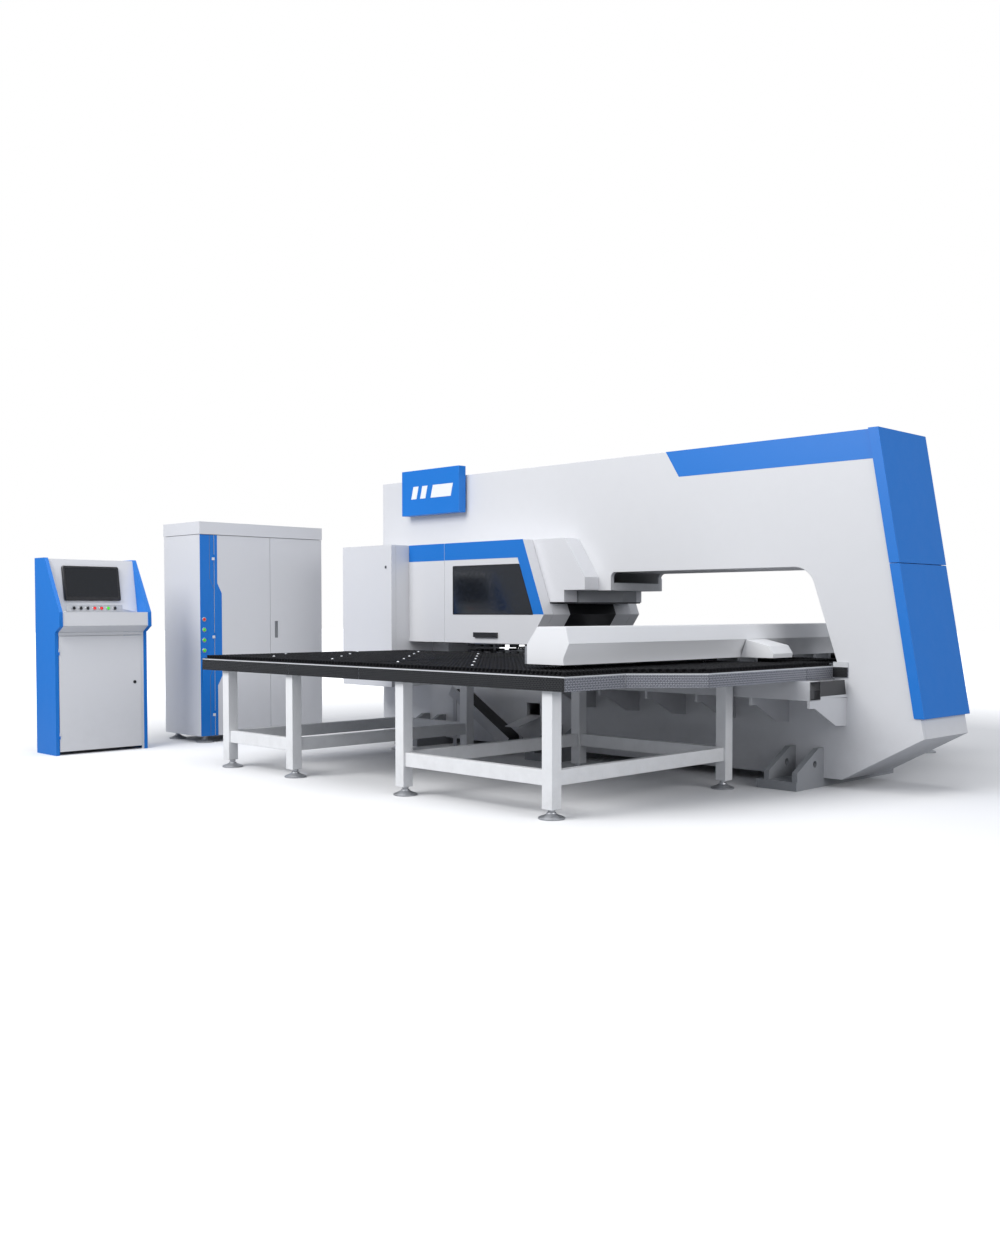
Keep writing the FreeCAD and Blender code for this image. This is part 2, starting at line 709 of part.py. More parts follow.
head_cover_profile = [
    (HEAD_COVER_BACK_Y, GUARD_TOP),
    (218, GUARD_TOP),
    (9, 1443),
    (9, HEAD_UNDER + 5),
    (HEAD_COVER_NOTCH_Y, HEAD_UNDER + 5),
    (HEAD_COVER_NOTCH_Y, hammer_low + 1),
    (HEAD_COVER_BACK_Y, hammer_low + 1),
]
head_cover = tray_x(head_cover_profile, -HEAD_COVER_X, -HALF, GUARD_SHEET)
housing_room = octagon(HAMMER_HALF + PANEL_GAP, HAMMER_CHAMFER, HAMMER_Y)
add("head_covers", both([head_cover.cut(prism_z(housing_room, hammer_low, HEAD_UNDER))]))

sign_top = FRAME_TOP + SIGN_RISE
sign_zs = (sign_top - SIGN_HEIGHT, sign_top)
sign = box((near_x(SIGN_OUT), near_x(SIGN_GAP)), (SIGN_Y0, SIGN_Y0 + SIGN_LENGTH), sign_zs)
sign_posts = [box((near_x(SIGN_GAP), -HALF), (y, y + 60), (sign_top - SIGN_HEIGHT + 60, FRAME_TOP - 60))
              for y in (SIGN_Y0 + 80, SIGN_Y0 + SIGN_LENGTH - 140)]
add("sign_board", [sign] + sign_posts)


# ---------------------------------------------------------------- turret guard
def guard_profile(back_y):
    return [(back_y, GUARD_TOP), (GUARD_TOP_Y, GUARD_TOP), (GUARD_NOSE_Y, GUARD_NOSE_Z),
            (GUARD_LOW_Y, GUARD_LOW), (back_y, GUARD_LOW)]


def nose_sheet(x0, x1):
    """The folded sheet that closes the guard towards the throat."""
    top_z = plate_low - NOSE_TOP_GAP
    slope = (GUARD_TOP_Y - GUARD_NOSE_Y) / (GUARD_TOP - GUARD_NOSE_Z)
    top_y = GUARD_NOSE_Y + (top_z - GUARD_NOSE_Z) * slope
    back = 1.2 * GUARD_SHEET
    front = [(top_y, top_z), (GUARD_NOSE_Y, GUARD_NOSE_Z), (GUARD_LOW_Y, GUARD_LOW)]
    rear = [(y + back, z) for y, z in reversed(front)]
    return prism_x(front + rear, x0, x1)


under_turret = box((-GUARD_X + GUARD_LIP, 0), (GUARD_LOW_Y + GUARD_LIP, GUARD_BACK_Y - GUARD_LIP),
                   (GUARD_LOW - 1, GUARD_LOW + GUARD_SHEET + 1))
door_profile = guard_profile(GUARD_SEAM_Y - PANEL_GAP)
guard_door = tray_x(door_profile, -GUARD_X, -HEAD_COVER_X - PANEL_GAP, GUARD_SHEET).cut(under_turret)
guard_door = guard_door.cut(prism_x(WINDOW_YZ, -GUARD_X - 1, -GUARD_X + GUARD_SHEET + 1))
handle = box((-GUARD_X - HANDLE_PROUD, -GUARD_X), (HANDLE_Y0, HANDLE_Y1), (HANDLE_Z0, HANDLE_Z1))
guard_seam = -HEAD_COVER_X - PANEL_GAP / 2
guard_hinge_ys = (GUARD_SEAM_Y - 620, GUARD_SEAM_Y - 120)
guard_hinge_points = [(guard_seam, y, GUARD_TOP) for y in guard_hinge_ys]
roof_halves, lid_halves = hinges(guard_hinge_points, (-1, 0, 0), (0, 0, 1), 1)
add("guard_door", [guard_door, handle] + lid_halves)
pane = prism_x(inset(list(WINDOW_YZ), -15), -GUARD_X + GUARD_SHEET, -GUARD_X + GUARD_SHEET + WINDOW_THICK)
add("guard_window", [pane])

fixed_profile = [(GUARD_BACK_Y - PANEL_GAP, GUARD_LOW), (GUARD_BACK_Y - PANEL_GAP, GUARD_TOP),
                 (GUARD_SEAM_Y, GUARD_TOP), (GUARD_SEAM_Y, GUARD_LOW)]
fixed_panel = tray_x(fixed_profile, -GUARD_X, -HALF, GUARD_SHEET)
door_side = box((-GUARD_X + GUARD_SHEET, -HALF), (GUARD_SEAM_Y, GUARD_SEAM_Y + GUARD_SHEET),
                (GUARD_LOW + GUARD_SHEET, GUARD_TOP - GUARD_SHEET))
fixed_panel = fixed_panel.cut(door_side).cut(under_turret)
roof = box((-HEAD_COVER_X, -HALF), (HEAD_COVER_BACK_Y + PANEL_GAP, GUARD_SEAM_Y - PANEL_GAP),
           (GUARD_TOP - GUARD_SHEET, GUARD_TOP))
far_guard = tray_x(guard_profile(GUARD_BACK_Y), -GUARD_X, -HEAD_COVER_X - PANEL_GAP, GUARD_SHEET)
far_guard = far(far_guard.cut(under_turret))
far_roof = far(box((-HEAD_COVER_X - PANEL_GAP, -HALF), (HEAD_COVER_BACK_Y + PANEL_GAP, GUARD_BACK_Y),
                   (GUARD_TOP - GUARD_SHEET, GUARD_TOP)))
cheek = nose_sheet(-HEAD_COVER_X, -NOSE_BLACK_HALF)
nose = nose_sheet(-NOSE_BLACK_HALF, NOSE_BLACK_HALF)
add("guard_panels", [fixed_panel, roof, far_guard, far_roof, cheek, nose, far(cheek)] + roof_halves)


# ---------------------------------------------------------------- electrical box on the side
box_x = near_x(BOX_OUT)
box_zs = (BOX_LOW, GUARD_TOP)
box_ys = (GUARD_BACK_Y, BOX_BACK_Y)
box_door_back = box_x + BOX_DOOR_DEPTH
box_seam = box_door_back + PANEL_GAP / 2
box_hinge_zs = (BOX_LOW + 160, (BOX_LOW + GUARD_TOP) / 2, GUARD_TOP - 160)
box_hinge_points = [(box_seam, BOX_BACK_Y, z) for z in box_hinge_zs]
box_halves, box_door_halves = hinges(box_hinge_points, (-1, 0, 0), (0, 1, 0), -1)
box_shell = shell_box((box_door_back + PANEL_GAP, -HALF), box_ys, box_zs, BOX_WALL, "-x")
add("side_box", box_shell + box_halves)
box_door_profile = [(y, z) for y, z in zip(box_ys + box_ys[::-1], (BOX_LOW, BOX_LOW, GUARD_TOP, GUARD_TOP))]
box_lock = rod(LOCK_R, (box_x - 4, box_ys[0] + 75, 1563), (1, 0, 0), 4)
box_door = tray_x(box_door_profile, box_x, box_door_back, BOX_WALL)
add("side_box_door", [box_door, box_lock] + box_door_halves)


# ---------------------------------------------------------------- Y guides
def guide_side():
    outer = near_x(GUIDE_OUT)
    tray = near_x(GUIDE_TRAY)
    ys = (GUIDE_Y0, GUIDE_Y1)
    tube = box((outer, tray), ys, (GUIDE_LOW, GUIDE_TOP))
    bore = box((outer + GUIDE_WALL, tray - GUIDE_WALL), (GUIDE_Y0 - 1, GUIDE_Y1 + 1),
               (GUIDE_LOW + GUIDE_WALL, GUIDE_TOP - GUIDE_WALL))
    floor = box((tray, -HALF), ys, (GUIDE_LOW, GUIDE_LOW + GUIDE_FLOOR))
    cap = box((outer + GUIDE_WALL, tray - GUIDE_WALL), (GUIDE_Y0, GUIDE_Y0 + GUIDE_WALL),
              (GUIDE_LOW + GUIDE_WALL, GUIDE_TOP - GUIDE_WALL))
    shield_z = GUIDE_LOW + GUIDE_FLOOR
    shield_top = SKIRT_LOW - 4
    shield_section = [(tray, shield_z), (tray, shield_top), (-HALF - 24, shield_top), (-HALF - 4, shield_z)]
    shield = prism_y(shield_section, GUIDE_Y0 + 4, GUIDE_Y0 + 12)
    pieces = [tube.cut(bore), floor, cap, shield]
    low = GUIDE_LOW - BRACKET_DROP
    profile = [(outer, GUIDE_LOW), (outer, GUIDE_LOW - 51), (outer + 61, GUIDE_LOW - 54),
               (near_x(140), low + 10), (-HALF, low), (-HALF, GUIDE_LOW)]
    for index in range(BRACKET_COUNT):
        y = GUIDE_Y0 + index * BRACKET_PITCH
        pieces.append(prism_y(profile, y, y + BRACKET_THICK))
    return pieces


add("guide_beams", both(guide_side()))
rail_z = (GUIDE_LOW + GUIDE_FLOOR, GUIDE_LOW + GUIDE_FLOOR + Y_RAIL_HEIGHT)
rail_mid = near_x(Y_RAIL_OUT)
y_rail = box((rail_mid - Y_RAIL_WIDTH / 2, rail_mid + Y_RAIL_WIDTH / 2), (Y_RAIL_Y0, Y_RAIL_Y1), rail_z)

screw_x = near_x(Y_SCREW_OUT)
journal_r = 12.0
bearing_len = 26.0
screw_y0 = Y_RAIL_Y0 + bearing_len + 6
screw_y1 = Y_RAIL_Y1 - bearing_len - 6
screw = rod(Y_SCREW_R, (screw_x, screw_y0, Y_SCREW_Z), (0, 1, 0), screw_y1 - screw_y0)
journal_length = Y_RAIL_Y1 - Y_RAIL_Y0 - 4
screw = screw.fuse(rod(journal_r, (screw_x, Y_RAIL_Y0 + 2, Y_SCREW_Z), (0, 1, 0), journal_length))
add("y_screw", [screw.removeSplitter()])


def screw_bearing(y):
    block = box((screw_x - 34, screw_x + 34), (y, y + bearing_len), (rail_z[0], Y_SCREW_Z + 34))
    return block.cut(rod(journal_r + RUN_FIT, (screw_x, y - 1, Y_SCREW_Z), (0, 1, 0), bearing_len + 2))


y_motor = box((screw_x - 40, screw_x + 40), (Y_RAIL_Y1, Y_RAIL_Y1 + 95), (rail_z[0], rail_z[0] + 80))
add("y_rails", both([y_rail]) + [screw_bearing(Y_RAIL_Y0), screw_bearing(Y_RAIL_Y1 - bearing_len), y_motor])


# ---------------------------------------------------------------- gantry: beam, saddles, cover
beam_half = BEAM_LENGTH / 2
beam_y1 = BEAM_Y0 + BEAM_DEPTH
cover_top = COVER_Z0 + COVER_HEIGHT
beam = box((-beam_half + 30, beam_half - 30), (BEAM_Y0, beam_y1), (BEAM_Z0, BEAM_Z0 + BEAM_HEIGHT))
beam_bore = box((-beam_half, beam_half), (BEAM_Y0 + BEAM_WALL, beam_y1 - BEAM_WALL),
                (BEAM_Z0 + BEAM_WALL, BEAM_Z0 + BEAM_HEIGHT - BEAM_WALL))
beam = beam.cut(beam_bore)
saddle_low = rail_z[1] + 34
saddle_top = saddle_low + SADDLE_THICK
saddle_xs = (near_x(SADDLE_OUT), near_x(SADDLE_IN))
saddle_plate = box(saddle_xs, (SADDLE_Y0, SADDLE_Y1), (saddle_low, saddle_top))
riser_ys = (BEAM_Y0 + 20, beam_y1 - 10)
risers = [box((x, x + 30), riser_ys, (saddle_top, BEAM_Z0)) for x in (saddle_xs[0] + 20, saddle_xs[1] - 50)]


def rail_block(y):
    block = box((rail_mid - 38, rail_mid + 38), (y, y + 110), (rail_z[0] + 8, saddle_low))
    half_slot = Y_RAIL_WIDTH / 2 + RUN_FIT
    slot_xs = (rail_mid - half_slot, rail_mid + half_slot)
    slot = box(slot_xs, (y - 1, y + 111), (rail_z[0], rail_z[1] + RUN_FIT))
    return block.cut(slot)


blocks = [rail_block(SADDLE_Y0 + 20), rail_block(SADDLE_Y1 - 130)]
nut = box((screw_x - 33, screw_x + 33), (SADDLE_Y0 + 200, SADDLE_Y0 + 300), (rail_z[0] + 8, saddle_low))
nut = nut.cut(rod(Y_SCREW_R + RUN_FIT, (screw_x, SADDLE_Y0 + 199, Y_SCREW_Z), (0, 1, 0), 102))
add("gantry_beam", [beam])
add("gantry_saddles", both([saddle_plate] + risers + blocks) + [nut])

x_rails = [box((-beam_half + 34, beam_half - 34), (beam_y1, beam_y1 + X_RAIL_HEIGHT),
               (z - X_RAIL_WIDTH / 2, z + X_RAIL_WIDTH / 2)) for z in X_RAIL_ZS]

# The cover's section, from its lip above the carriage over the top to the fold under the front
lip_z = COVER_Z0 + 109
fold_z = COVER_Z0 + 123
hem_z = COVER_Z0 + 42
shoulder_z = COVER_Z0 + 115
cover_section = [
    (COVER_REAR_Y, lip_z),
    (COVER_REAR_Y, shoulder_z),
    (COVER_REAR_Y - 85, cover_top),
    (COVER_FRONT_Y + 24, cover_top),
    (COVER_FRONT_Y, fold_z),
    (COVER_FRONT_Y + 41, hem_z),
    (COVER_FRONT_Y + 41, COVER_Z0),
]
inner_section = [
    (COVER_FRONT_Y + 41 + COVER_SKIN, COVER_Z0),
    (COVER_FRONT_Y + 41 + COVER_SKIN, hem_z + COVER_SKIN * 0.25),
    (COVER_FRONT_Y + COVER_SKIN * 1.05, fold_z),
    (COVER_FRONT_Y + 24 + COVER_SKIN, cover_top - COVER_SKIN),
    (COVER_REAR_Y - 85 - COVER_SKIN * 0.4, cover_top - COVER_SKIN),
    (COVER_REAR_Y - COVER_SKIN, shoulder_z - COVER_SKIN * 0.4),
    (COVER_REAR_Y - COVER_SKIN, lip_z),
]
cover_skin = prism_x(cover_section + inner_section, -beam_half + COVER_SKIN, beam_half - COVER_SKIN)
end_section = [(COVER_REAR_Y, COVER_Z0)] + cover_section[1:]
end_caps = [prism_x(end_section, -beam_half, -beam_half + COVER_SKIN),
            prism_x(end_section, beam_half - COVER_SKIN, beam_half)]

drive_top = fold_z - 2
drive_section = [
    (COVER_FRONT_Y + 0.5, drive_top),
    (COVER_FRONT_Y - 180, drive_top - 40),
    (COVER_FRONT_Y - 215, drive_top - 92),
    (COVER_FRONT_Y - 212, COVER_Z0),
    (COVER_FRONT_Y + 40, COVER_Z0),
]
drive_inner = inset(drive_section, COVER_SKIN)
drive_xs = (near_x(DRIVE_COVER_OUT1), near_x(DRIVE_COVER_OUT0))
drive_section[0] = (COVER_FRONT_Y - 0.5, drive_top)
drive_cover = prism_x(drive_section, *drive_xs)
cover_face = [
    (COVER_FRONT_Y - 0.4, drive_top + 20),
    (COVER_FRONT_Y - 0.4, fold_z),
    (COVER_FRONT_Y + 40.6, hem_z),
    (COVER_FRONT_Y + 40.6, COVER_Z0 - 1),
    (COVER_FRONT_Y + 80, COVER_Z0 - 1),
    (COVER_FRONT_Y + 80, drive_top + 20),
]
drive_void = drive_inner[:3] + [(drive_inner[3][0], COVER_Z0 - 1), (drive_inner[4][0], COVER_Z0 - 1)]
drive_hollow = prism_x(drive_void, drive_xs[0] + COVER_SKIN, drive_xs[1] - COVER_SKIN)
drive_cover = drive_cover.cut(prism_x(cover_face, drive_xs[0] - 1, drive_xs[1] + 1)).cut(drive_hollow)
add("gantry_cover", [cover_skin, drive_cover] + end_caps)


# ---------------------------------------------------------------- X carriage and clamps
screw_z = sum(X_RAIL_ZS) / 2
carriage_y0 = COVER_REAR_Y + 5
carriage_y1 = carriage_y0 + CARRIAGE_THICK
carriage_x1 = CARRIAGE_X0 + CARRIAGE_LENGTH
carriage_z1 = CARRIAGE_Z0 + CARRIAGE_HEIGHT
panel = box((CARRIAGE_X0, carriage_x1), (carriage_y0, carriage_y1), (CARRIAGE_Z0, carriage_z1))
block_x0 = -beam_half + 60
block_x1 = beam_half - X_TRAVEL - 170
block_xs = [block_x0 + index * (block_x1 - block_x0) / 2 for index in range(3)]


def x_block(x, z):
    block = box((x, x + 100), (beam_y1 + 8, carriage_y0), (z - 17, z + 17))
    half_slot = X_RAIL_WIDTH / 2 + RUN_FIT
    slot_ys = (beam_y1, beam_y1 + X_RAIL_HEIGHT + RUN_FIT)
    slot = box((x - 1, x + 101), slot_ys, (z - half_slot, z + half_slot))
    return block.cut(slot)


nut_x = (block_xs[0] + block_xs[1]) / 2
x_nut = box((nut_x - 50, nut_x + 50), (X_SCREW_Y - 22, carriage_y0), (screw_z - 24, screw_z + 24))
x_nut = x_nut.cut(rod(X_SCREW_R + RUN_FIT, (nut_x - 51, X_SCREW_Y, screw_z), (1, 0, 0), 102))
carriage_blocks = [x_block(x, z) for x in block_xs for z in X_RAIL_ZS]
add("x_carriage", [panel] + carriage_blocks + [x_nut])
add("x_screw", [rod(X_SCREW_R, (-beam_half + 60, X_SCREW_Y, screw_z), (1, 0, 0), BEAM_LENGTH - 220)])
motor_x0 = beam_half - 158
x_bearing = box((-beam_half + 34, -beam_half + 58), (beam_y1, X_SCREW_Y + 14), (screw_z - 14, screw_z + 14))
x_motor = box((motor_x0, motor_x0 + 120), (beam_y1, X_SCREW_Y + 15), (screw_z - 14, screw_z + 14))
add("x_rails", x_rails + [x_bearing, x_motor])

clamp_pitch = CARRIAGE_LENGTH / CLAMP_COUNT
clamp_xs = [CARRIAGE_X0 + clamp_pitch * (index + 0.5) for index in range(CLAMP_COUNT)]
jaw_low = BALL_TOP + 3
jaw_plate = 8.0
clamp_tip = carriage_y1 + CLAMP_REACH
pivot_y = carriage_y1 + 105
pivot_z = jaw_low + jaw_plate + 46
pin_r = 9.0
lever_half = 30.0


def clamp_body(x):
    ends = (x - CLAMP_WIDTH / 2, x + CLAMP_WIDTH / 2)
    lower = box(ends, (carriage_y1, clamp_tip), (jaw_low, jaw_low + jaw_plate))
    root = box(ends, (carriage_y1, carriage_y1 + 60), (jaw_low, carriage_z1))
    shape = lower.fuse(root)
    for side in (ends[0], ends[1] - 22):
        shape = shape.fuse(box((side, side + 22), (carriage_y1, pivot_y + 20), (jaw_low, pivot_z + 20)))
    shape = shape.fuse(rod(pin_r, (ends[0], pivot_y, pivot_z), (1, 0, 0), CLAMP_WIDTH))
    return shape.removeSplitter()


def clamp_jaw(x):
    gap = jaw_low + jaw_plate + 1
    profile = [
        (pivot_y - 14, pivot_z - 14),
        (pivot_y + 14, gap + 24),
        (clamp_tip - 30, gap + 4),
        (clamp_tip - 30, gap),
        (clamp_tip, gap),
        (clamp_tip, gap + 12),
        (pivot_y + 22, pivot_z + 16),
        (pivot_y - 14, pivot_z + 16),
    ]
    lever = prism_x(profile, x - lever_half, x + lever_half)
    pin_hole = rod(pin_r + RUN_FIT, (x - lever_half - 1, pivot_y, pivot_z), (1, 0, 0), 2 * lever_half + 2)
    return lever.cut(pin_hole)


add("clamp_bodies", [clamp_body(x) for x in clamp_xs])
add("clamp_jaws", [clamp_jaw(x) for x in clamp_xs])


# ---------------------------------------------------------------- tables
deck_zs = (DECK_TOP - DECK_THICK, DECK_TOP)
notch_y = GUARD_BACK_Y - 18
notch_x = box_x - DOOR_NOTCH


def deck_outline(out):
    """A table's outline, seen from above, with its outer edge a distance from the middle plane."""
    return [
        (-out, TABLE_FRONT_Y),
        (-out + WING_OUTER_IN, TABLE_FRONT_Y),
        (-out + WING_INNER_IN, TABLE_WING_Y),
        (-TABLE_IN, TABLE_WING_Y),
        (-TABLE_IN, notch_y),
        (notch_x, notch_y),
        (notch_x, TABLE_BACK_Y),
        (-out, TABLE_BACK_Y),
    ]


def deck_parts(points, zs):
    """The deck or mat cut into its three sections at the joints."""
    whole = prism_z(points, *zs)
    half_seam = DECK_SEAM / 2
    cut_zs = (zs[0] - 1, zs[1] + 1)
    cuts = [box((-TABLE_OUT - 1, 0), (y - half_seam, y + half_seam), cut_zs) for y in DECK_JOINTS]
    return whole.cut(Part.makeCompound(cuts)).Solids


def on_both_tables(build):
    """What a builder makes for the near table, and what it makes for the narrower far one."""
    return list(build(TABLE_OUT)) + [far(shape) for shape in build(FAR_TABLE_OUT)]


bridge = ((-TABLE_IN + DECK_SEAM, -HALF - 10), (TABLE_WING_Y, SADDLE_Y0 - 35))
bridge_deck = box(bridge[0], (bridge[1][0] + SKIRT_THICK, bridge[1][1]), deck_zs)
throat_xs = (-INNER + 5, INNER - 5)
throat_ys = (SADDLE_Y0 - 35, TURRET_Y - TURRET_R - 40)
throat_deck = box(throat_xs, throat_ys, deck_zs)
throat_posts = [box((x - 20, x + 20), (y - 20, y + 20), (THROAT_FLOOR, deck_zs[0]))
                for x in (throat_xs[0] + 60, throat_xs[1] - 60) for y in (-1700.0, -900.0, -100.0, 400.0)]
decks = on_both_tables(lambda out: deck_parts(inset(deck_outline(out), SKIRT_THICK), deck_zs))
add("table_decks", decks + both([bridge_deck]) + [throat_deck] + throat_posts)


def skirt(a, b):
    """A skirt plate under the deck's edge from point a to point b, with its thickness inwards."""
    dx, dy = b[0] - a[0], b[1] - a[1]
    length = math.hypot(dx, dy)
    nx, ny = -dy / length * SKIRT_THICK, dx / length * SKIRT_THICK
    return prism_z([a, b, (b[0] + nx, b[1] + ny), (a[0] + nx, a[1] + ny)], SKIRT_LOW, DECK_TOP)


def table_skirts(out):
    """The skirt plates round one table, with a gap at each deck joint."""
    t = SKIRT_THICK
    joint_a, joint_b = DECK_JOINTS
    seam = DECK_SEAM / 2
    wing_outer = -out + WING_OUTER_IN
    wing_inner = -out + WING_INNER_IN
    runs = [
        ((-out + t, TABLE_FRONT_Y), (wing_outer, TABLE_FRONT_Y)),
        ((wing_inner + 2, TABLE_WING_Y), (-TABLE_IN, TABLE_WING_Y)),
        ((-TABLE_IN + DECK_SEAM, TABLE_WING_Y), (-HALF - 10, TABLE_WING_Y)),
        ((-TABLE_IN, notch_y), (notch_x, notch_y)),
        ((notch_x, notch_y), (notch_x, TABLE_BACK_Y - t)),
        ((notch_x, TABLE_BACK_Y), (-out + t, TABLE_BACK_Y)),
        ((-out, joint_a - seam), (-out, TABLE_FRONT_Y)),
        ((-out, joint_b - seam), (-out, joint_a + seam)),
        ((-out, TABLE_BACK_Y), (-out, joint_b + seam)),
    ]
    plates = [skirt(a, b) for a, b in runs]
    tail_ys = (TABLE_WING_Y - SKIRT_TAIL, TABLE_WING_Y)
    plates.append(box((near_x(10), -HALF), tail_ys, (SKIRT_LOW + 12, BRUSH_TOP)))
    diagonal = skirt((wing_outer + 2, TABLE_FRONT_Y - 2), (wing_inner, TABLE_WING_Y))
    plates.append(diagonal.cut(Part.makeCompound(plates)))
    return plates


add("table_skirts", on_both_tables(table_skirts))


def ball_places(out):
    """The ball transfer units on one table, in staggered rows that keep clear of its outer edge."""
    rows = (-910.0, -1270.0, -1630.0, -1990.0, -2350.0)
    for row, x in enumerate(rows):
        if x < -out + 100:
            continue
        for step in range(5):
            y = -1400.0 + step * 720.0 + (row % 2) * 360.0
            yield x, y


mat_zs = (DECK_TOP, BRUSH_TOP)


def table_mats(out):
    """The brush mats of one table, open round each ball transfer unit."""
    mats = deck_parts(inset(deck_outline(out), BRUSH_INSET), mat_zs)
    bridge_ys = (bridge[1][0] + BRUSH_INSET, bridge[1][1])
    mats.append(box((bridge[0][0] + 4, bridge[0][1] - 4), bridge_ys, mat_zs))
    depth = BRUSH_TOP - DECK_TOP + 2
    holes = [rod(BALL_CUP_R + 1, (x, y, DECK_TOP - 1), (0, 0, 1), depth) for x, y in ball_places(out)]
    return [mat.cut(Part.makeCompound(holes)) for mat in mats]


throat_mat = box((throat_xs[0] + 4, throat_xs[1] - 4), throat_ys, mat_zs)
add("brush_mats", on_both_tables(table_mats) + [throat_mat])


def ball_unit(x, y):
    cup_top = BALL_TOP - BALL_R * 0.55
    cup = rod(BALL_CUP_R, (x, y, DECK_TOP), (0, 0, 1), cup_top - DECK_TOP)
    ball = Part.makeSphere(BALL_R, Vector(x, y, BALL_TOP - BALL_R))
    return cup.fuse(ball).removeSplitter()


add("ball_transfers", on_both_tables(lambda out: [ball_unit(x, y) for x, y in ball_places(out)]))


def leg_xs(out):
    return -out + LEG_EDGE_IN, LEG_IN_X


def table_frame(xs, ys):
    """Four legs, a ring of low rails and a ring of head rails under the deck."""
    top = deck_zs[0]
    half = LEG / 2
    thin = RAIL_THICK / 2
    pieces = [box((x - half, x + half), (y - half, y + half), (LEG_LOW, top)) for x in xs for y in ys]
    for zs in ((RAIL_LOW, RAIL_TOP), (top - HEAD_RAIL, top)):
        for x in xs:
            pieces.append(box((x - thin, x + thin), (ys[0] + half, ys[1] - half), zs))
        for y in ys:
            pieces.append(box((xs[0] + half, xs[1] - half), (y - thin, y + thin), zs))
    return pieces


def table_frames(out):
    return [piece for ys in LEG_YS for piece in table_frame(leg_xs(out), ys)]


add("table_frames", on_both_tables(table_frames))


def foot(x, y, top):
    """A levelling foot: a round base with a domed top, and its threaded stud."""
    base = rod(FOOT_R, (x, y, 0), (0, 0, 1), FOOT_EDGE)
    dome = Part.makeCone(FOOT_R - 4, STUD_R + 14, FOOT_DOME, Vector(x, y, FOOT_EDGE), Vector(0, 0, 1))
    stud = rod(STUD_R, (x, y, FOOT_EDGE + FOOT_DOME), (0, 0, 1), top - FOOT_EDGE - FOOT_DOME)
    return base.multiFuse([dome, stud]).removeSplitter()


cab_x1 = CAB_X0 + CAB_WIDTH
cab_y1 = CAB_Y0 + CAB_DEPTH


def table_feet(out):
    return [foot(x, y, LEG_LOW) for ys in LEG_YS for y in ys for x in leg_xs(out)]


cab_foot_xs = (CAB_X0 + 82, cab_x1 - 82)
cab_foot_ys = (CAB_Y0 + 75, cab_y1 - 75)
cab_feet = [foot(x, y, CAB_LOW) for x in cab_foot_xs for y in cab_foot_ys]
add("levelling_feet", on_both_tables(table_feet) + cab_feet)


# ---------------------------------------------------------------- slug conveyor
low = Vector(0, *CONVEYOR_LOW)
high = Vector(0, *CONVEYOR_HIGH)
run = (high - low).normalize()
rise = Vector(0, -run.z, run.y)
run_length = (high - low).Length
conveyor_x0 = near_x(CONVEYOR_OUT)
conveyor_x1 = conveyor_x0 + CONVEYOR_WIDTH
belt_x = (conveyor_x0 + CONVEYOR_SHEET + 4, conveyor_x1 - CONVEYOR_SHEET - 4)
belt_width = belt_x[1] - belt_x[0]


def slanted(along0, along1, up0, up1, x0, x1):
    """A bar that follows the conveyor's slope, measured from its two rollers."""
    start = low + run * along0
    end = high + run * along1
    corners = [start + rise * up0, end + rise * up0, end + rise * up1, start + rise * up1]
    return prism_x([(corner.y, corner.z) for corner in corners], x0, x1)


def stadium(radius, x0, x1):
    middle = slanted(0, 0, -radius, radius, x0, x1)
    ends = [rod(radius, (x0, point.y, point.z), (1, 0, 0), x1 - x0) for point in (low, high)]
    return middle.multiFuse(ends).removeSplitter()


def side_wall(x):
    wall = slanted(-60, 60, -CONVEYOR_SIDE / 2, CONVEYOR_SIDE / 2, x, x + CONVEYOR_SHEET)
    hole_r = ROLLER_PIN_R + RUN_FIT
    holes = [rod(hole_r, (x - 1, point.y, point.z), (1, 0, 0), CONVEYOR_SHEET + 2) for point in (low, high)]
    return wall.cut(Part.makeCompound(holes))


def conveyor_leg(along, x):
    point = low + run * along - rise * (CONVEYOR_SIDE / 2)
    return box((x, x + CONVEYOR_SHEET), (point.y - 20, point.y + 20), (0, point.z + 10))


walls = [side_wall(conveyor_x0), side_wall(conveyor_x1 - CONVEYOR_SHEET)]
legs = []
for along in (60.0, run_length - 40.0):
    legs.append(conveyor_leg(along, conveyor_x0 - CONVEYOR_SHEET))
    legs.append(conveyor_leg(along, conveyor_x1))
bed = slanted(ROLLER_R + 20, -ROLLER_R - 20, -8, 8, belt_x[0] + 4, belt_x[1] - 4)
tie_points = [low + run * (run_length * share) for share in (0.35, 0.7)]
tie_x0 = conveyor_x0 + CONVEYOR_SHEET
tie_length = CONVEYOR_WIDTH - 2 * CONVEYOR_SHEET
bed_ties = [rod(8, (tie_x0, point.y, point.z), (1, 0, 0), tie_length) for point in tie_points]
window_low = CHUTE_WINDOW_Z[0]
chute_end = (conveyor_x0 + 40, window_low - CHUTE_DROP)
chute_start = (-INNER, window_low + CHUTE_LIFT)
chute_top = [(x, z + CHUTE_SHEET) for x, z in (chute_end, chute_start)]
chute_section = [chute_start, chute_end] + chute_top
chute = prism_y(chute_section, CHUTE_YS[0] + 4, CHUTE_YS[1] - 4)
belt_outer = stadium(ROLLER_R + ROLLER_FIT + BELT, *belt_x)
belt_inner = stadium(ROLLER_R + ROLLER_FIT, belt_x[0] - 1, belt_x[1] + 1)


def roller(point):
    drum = rod(ROLLER_R, (belt_x[0], point.y, point.z), (1, 0, 0), belt_width)
    pin = rod(ROLLER_PIN_R, (conveyor_x0, point.y, point.z), (1, 0, 0), CONVEYOR_WIDTH)
    return drum.fuse(pin).removeSplitter()


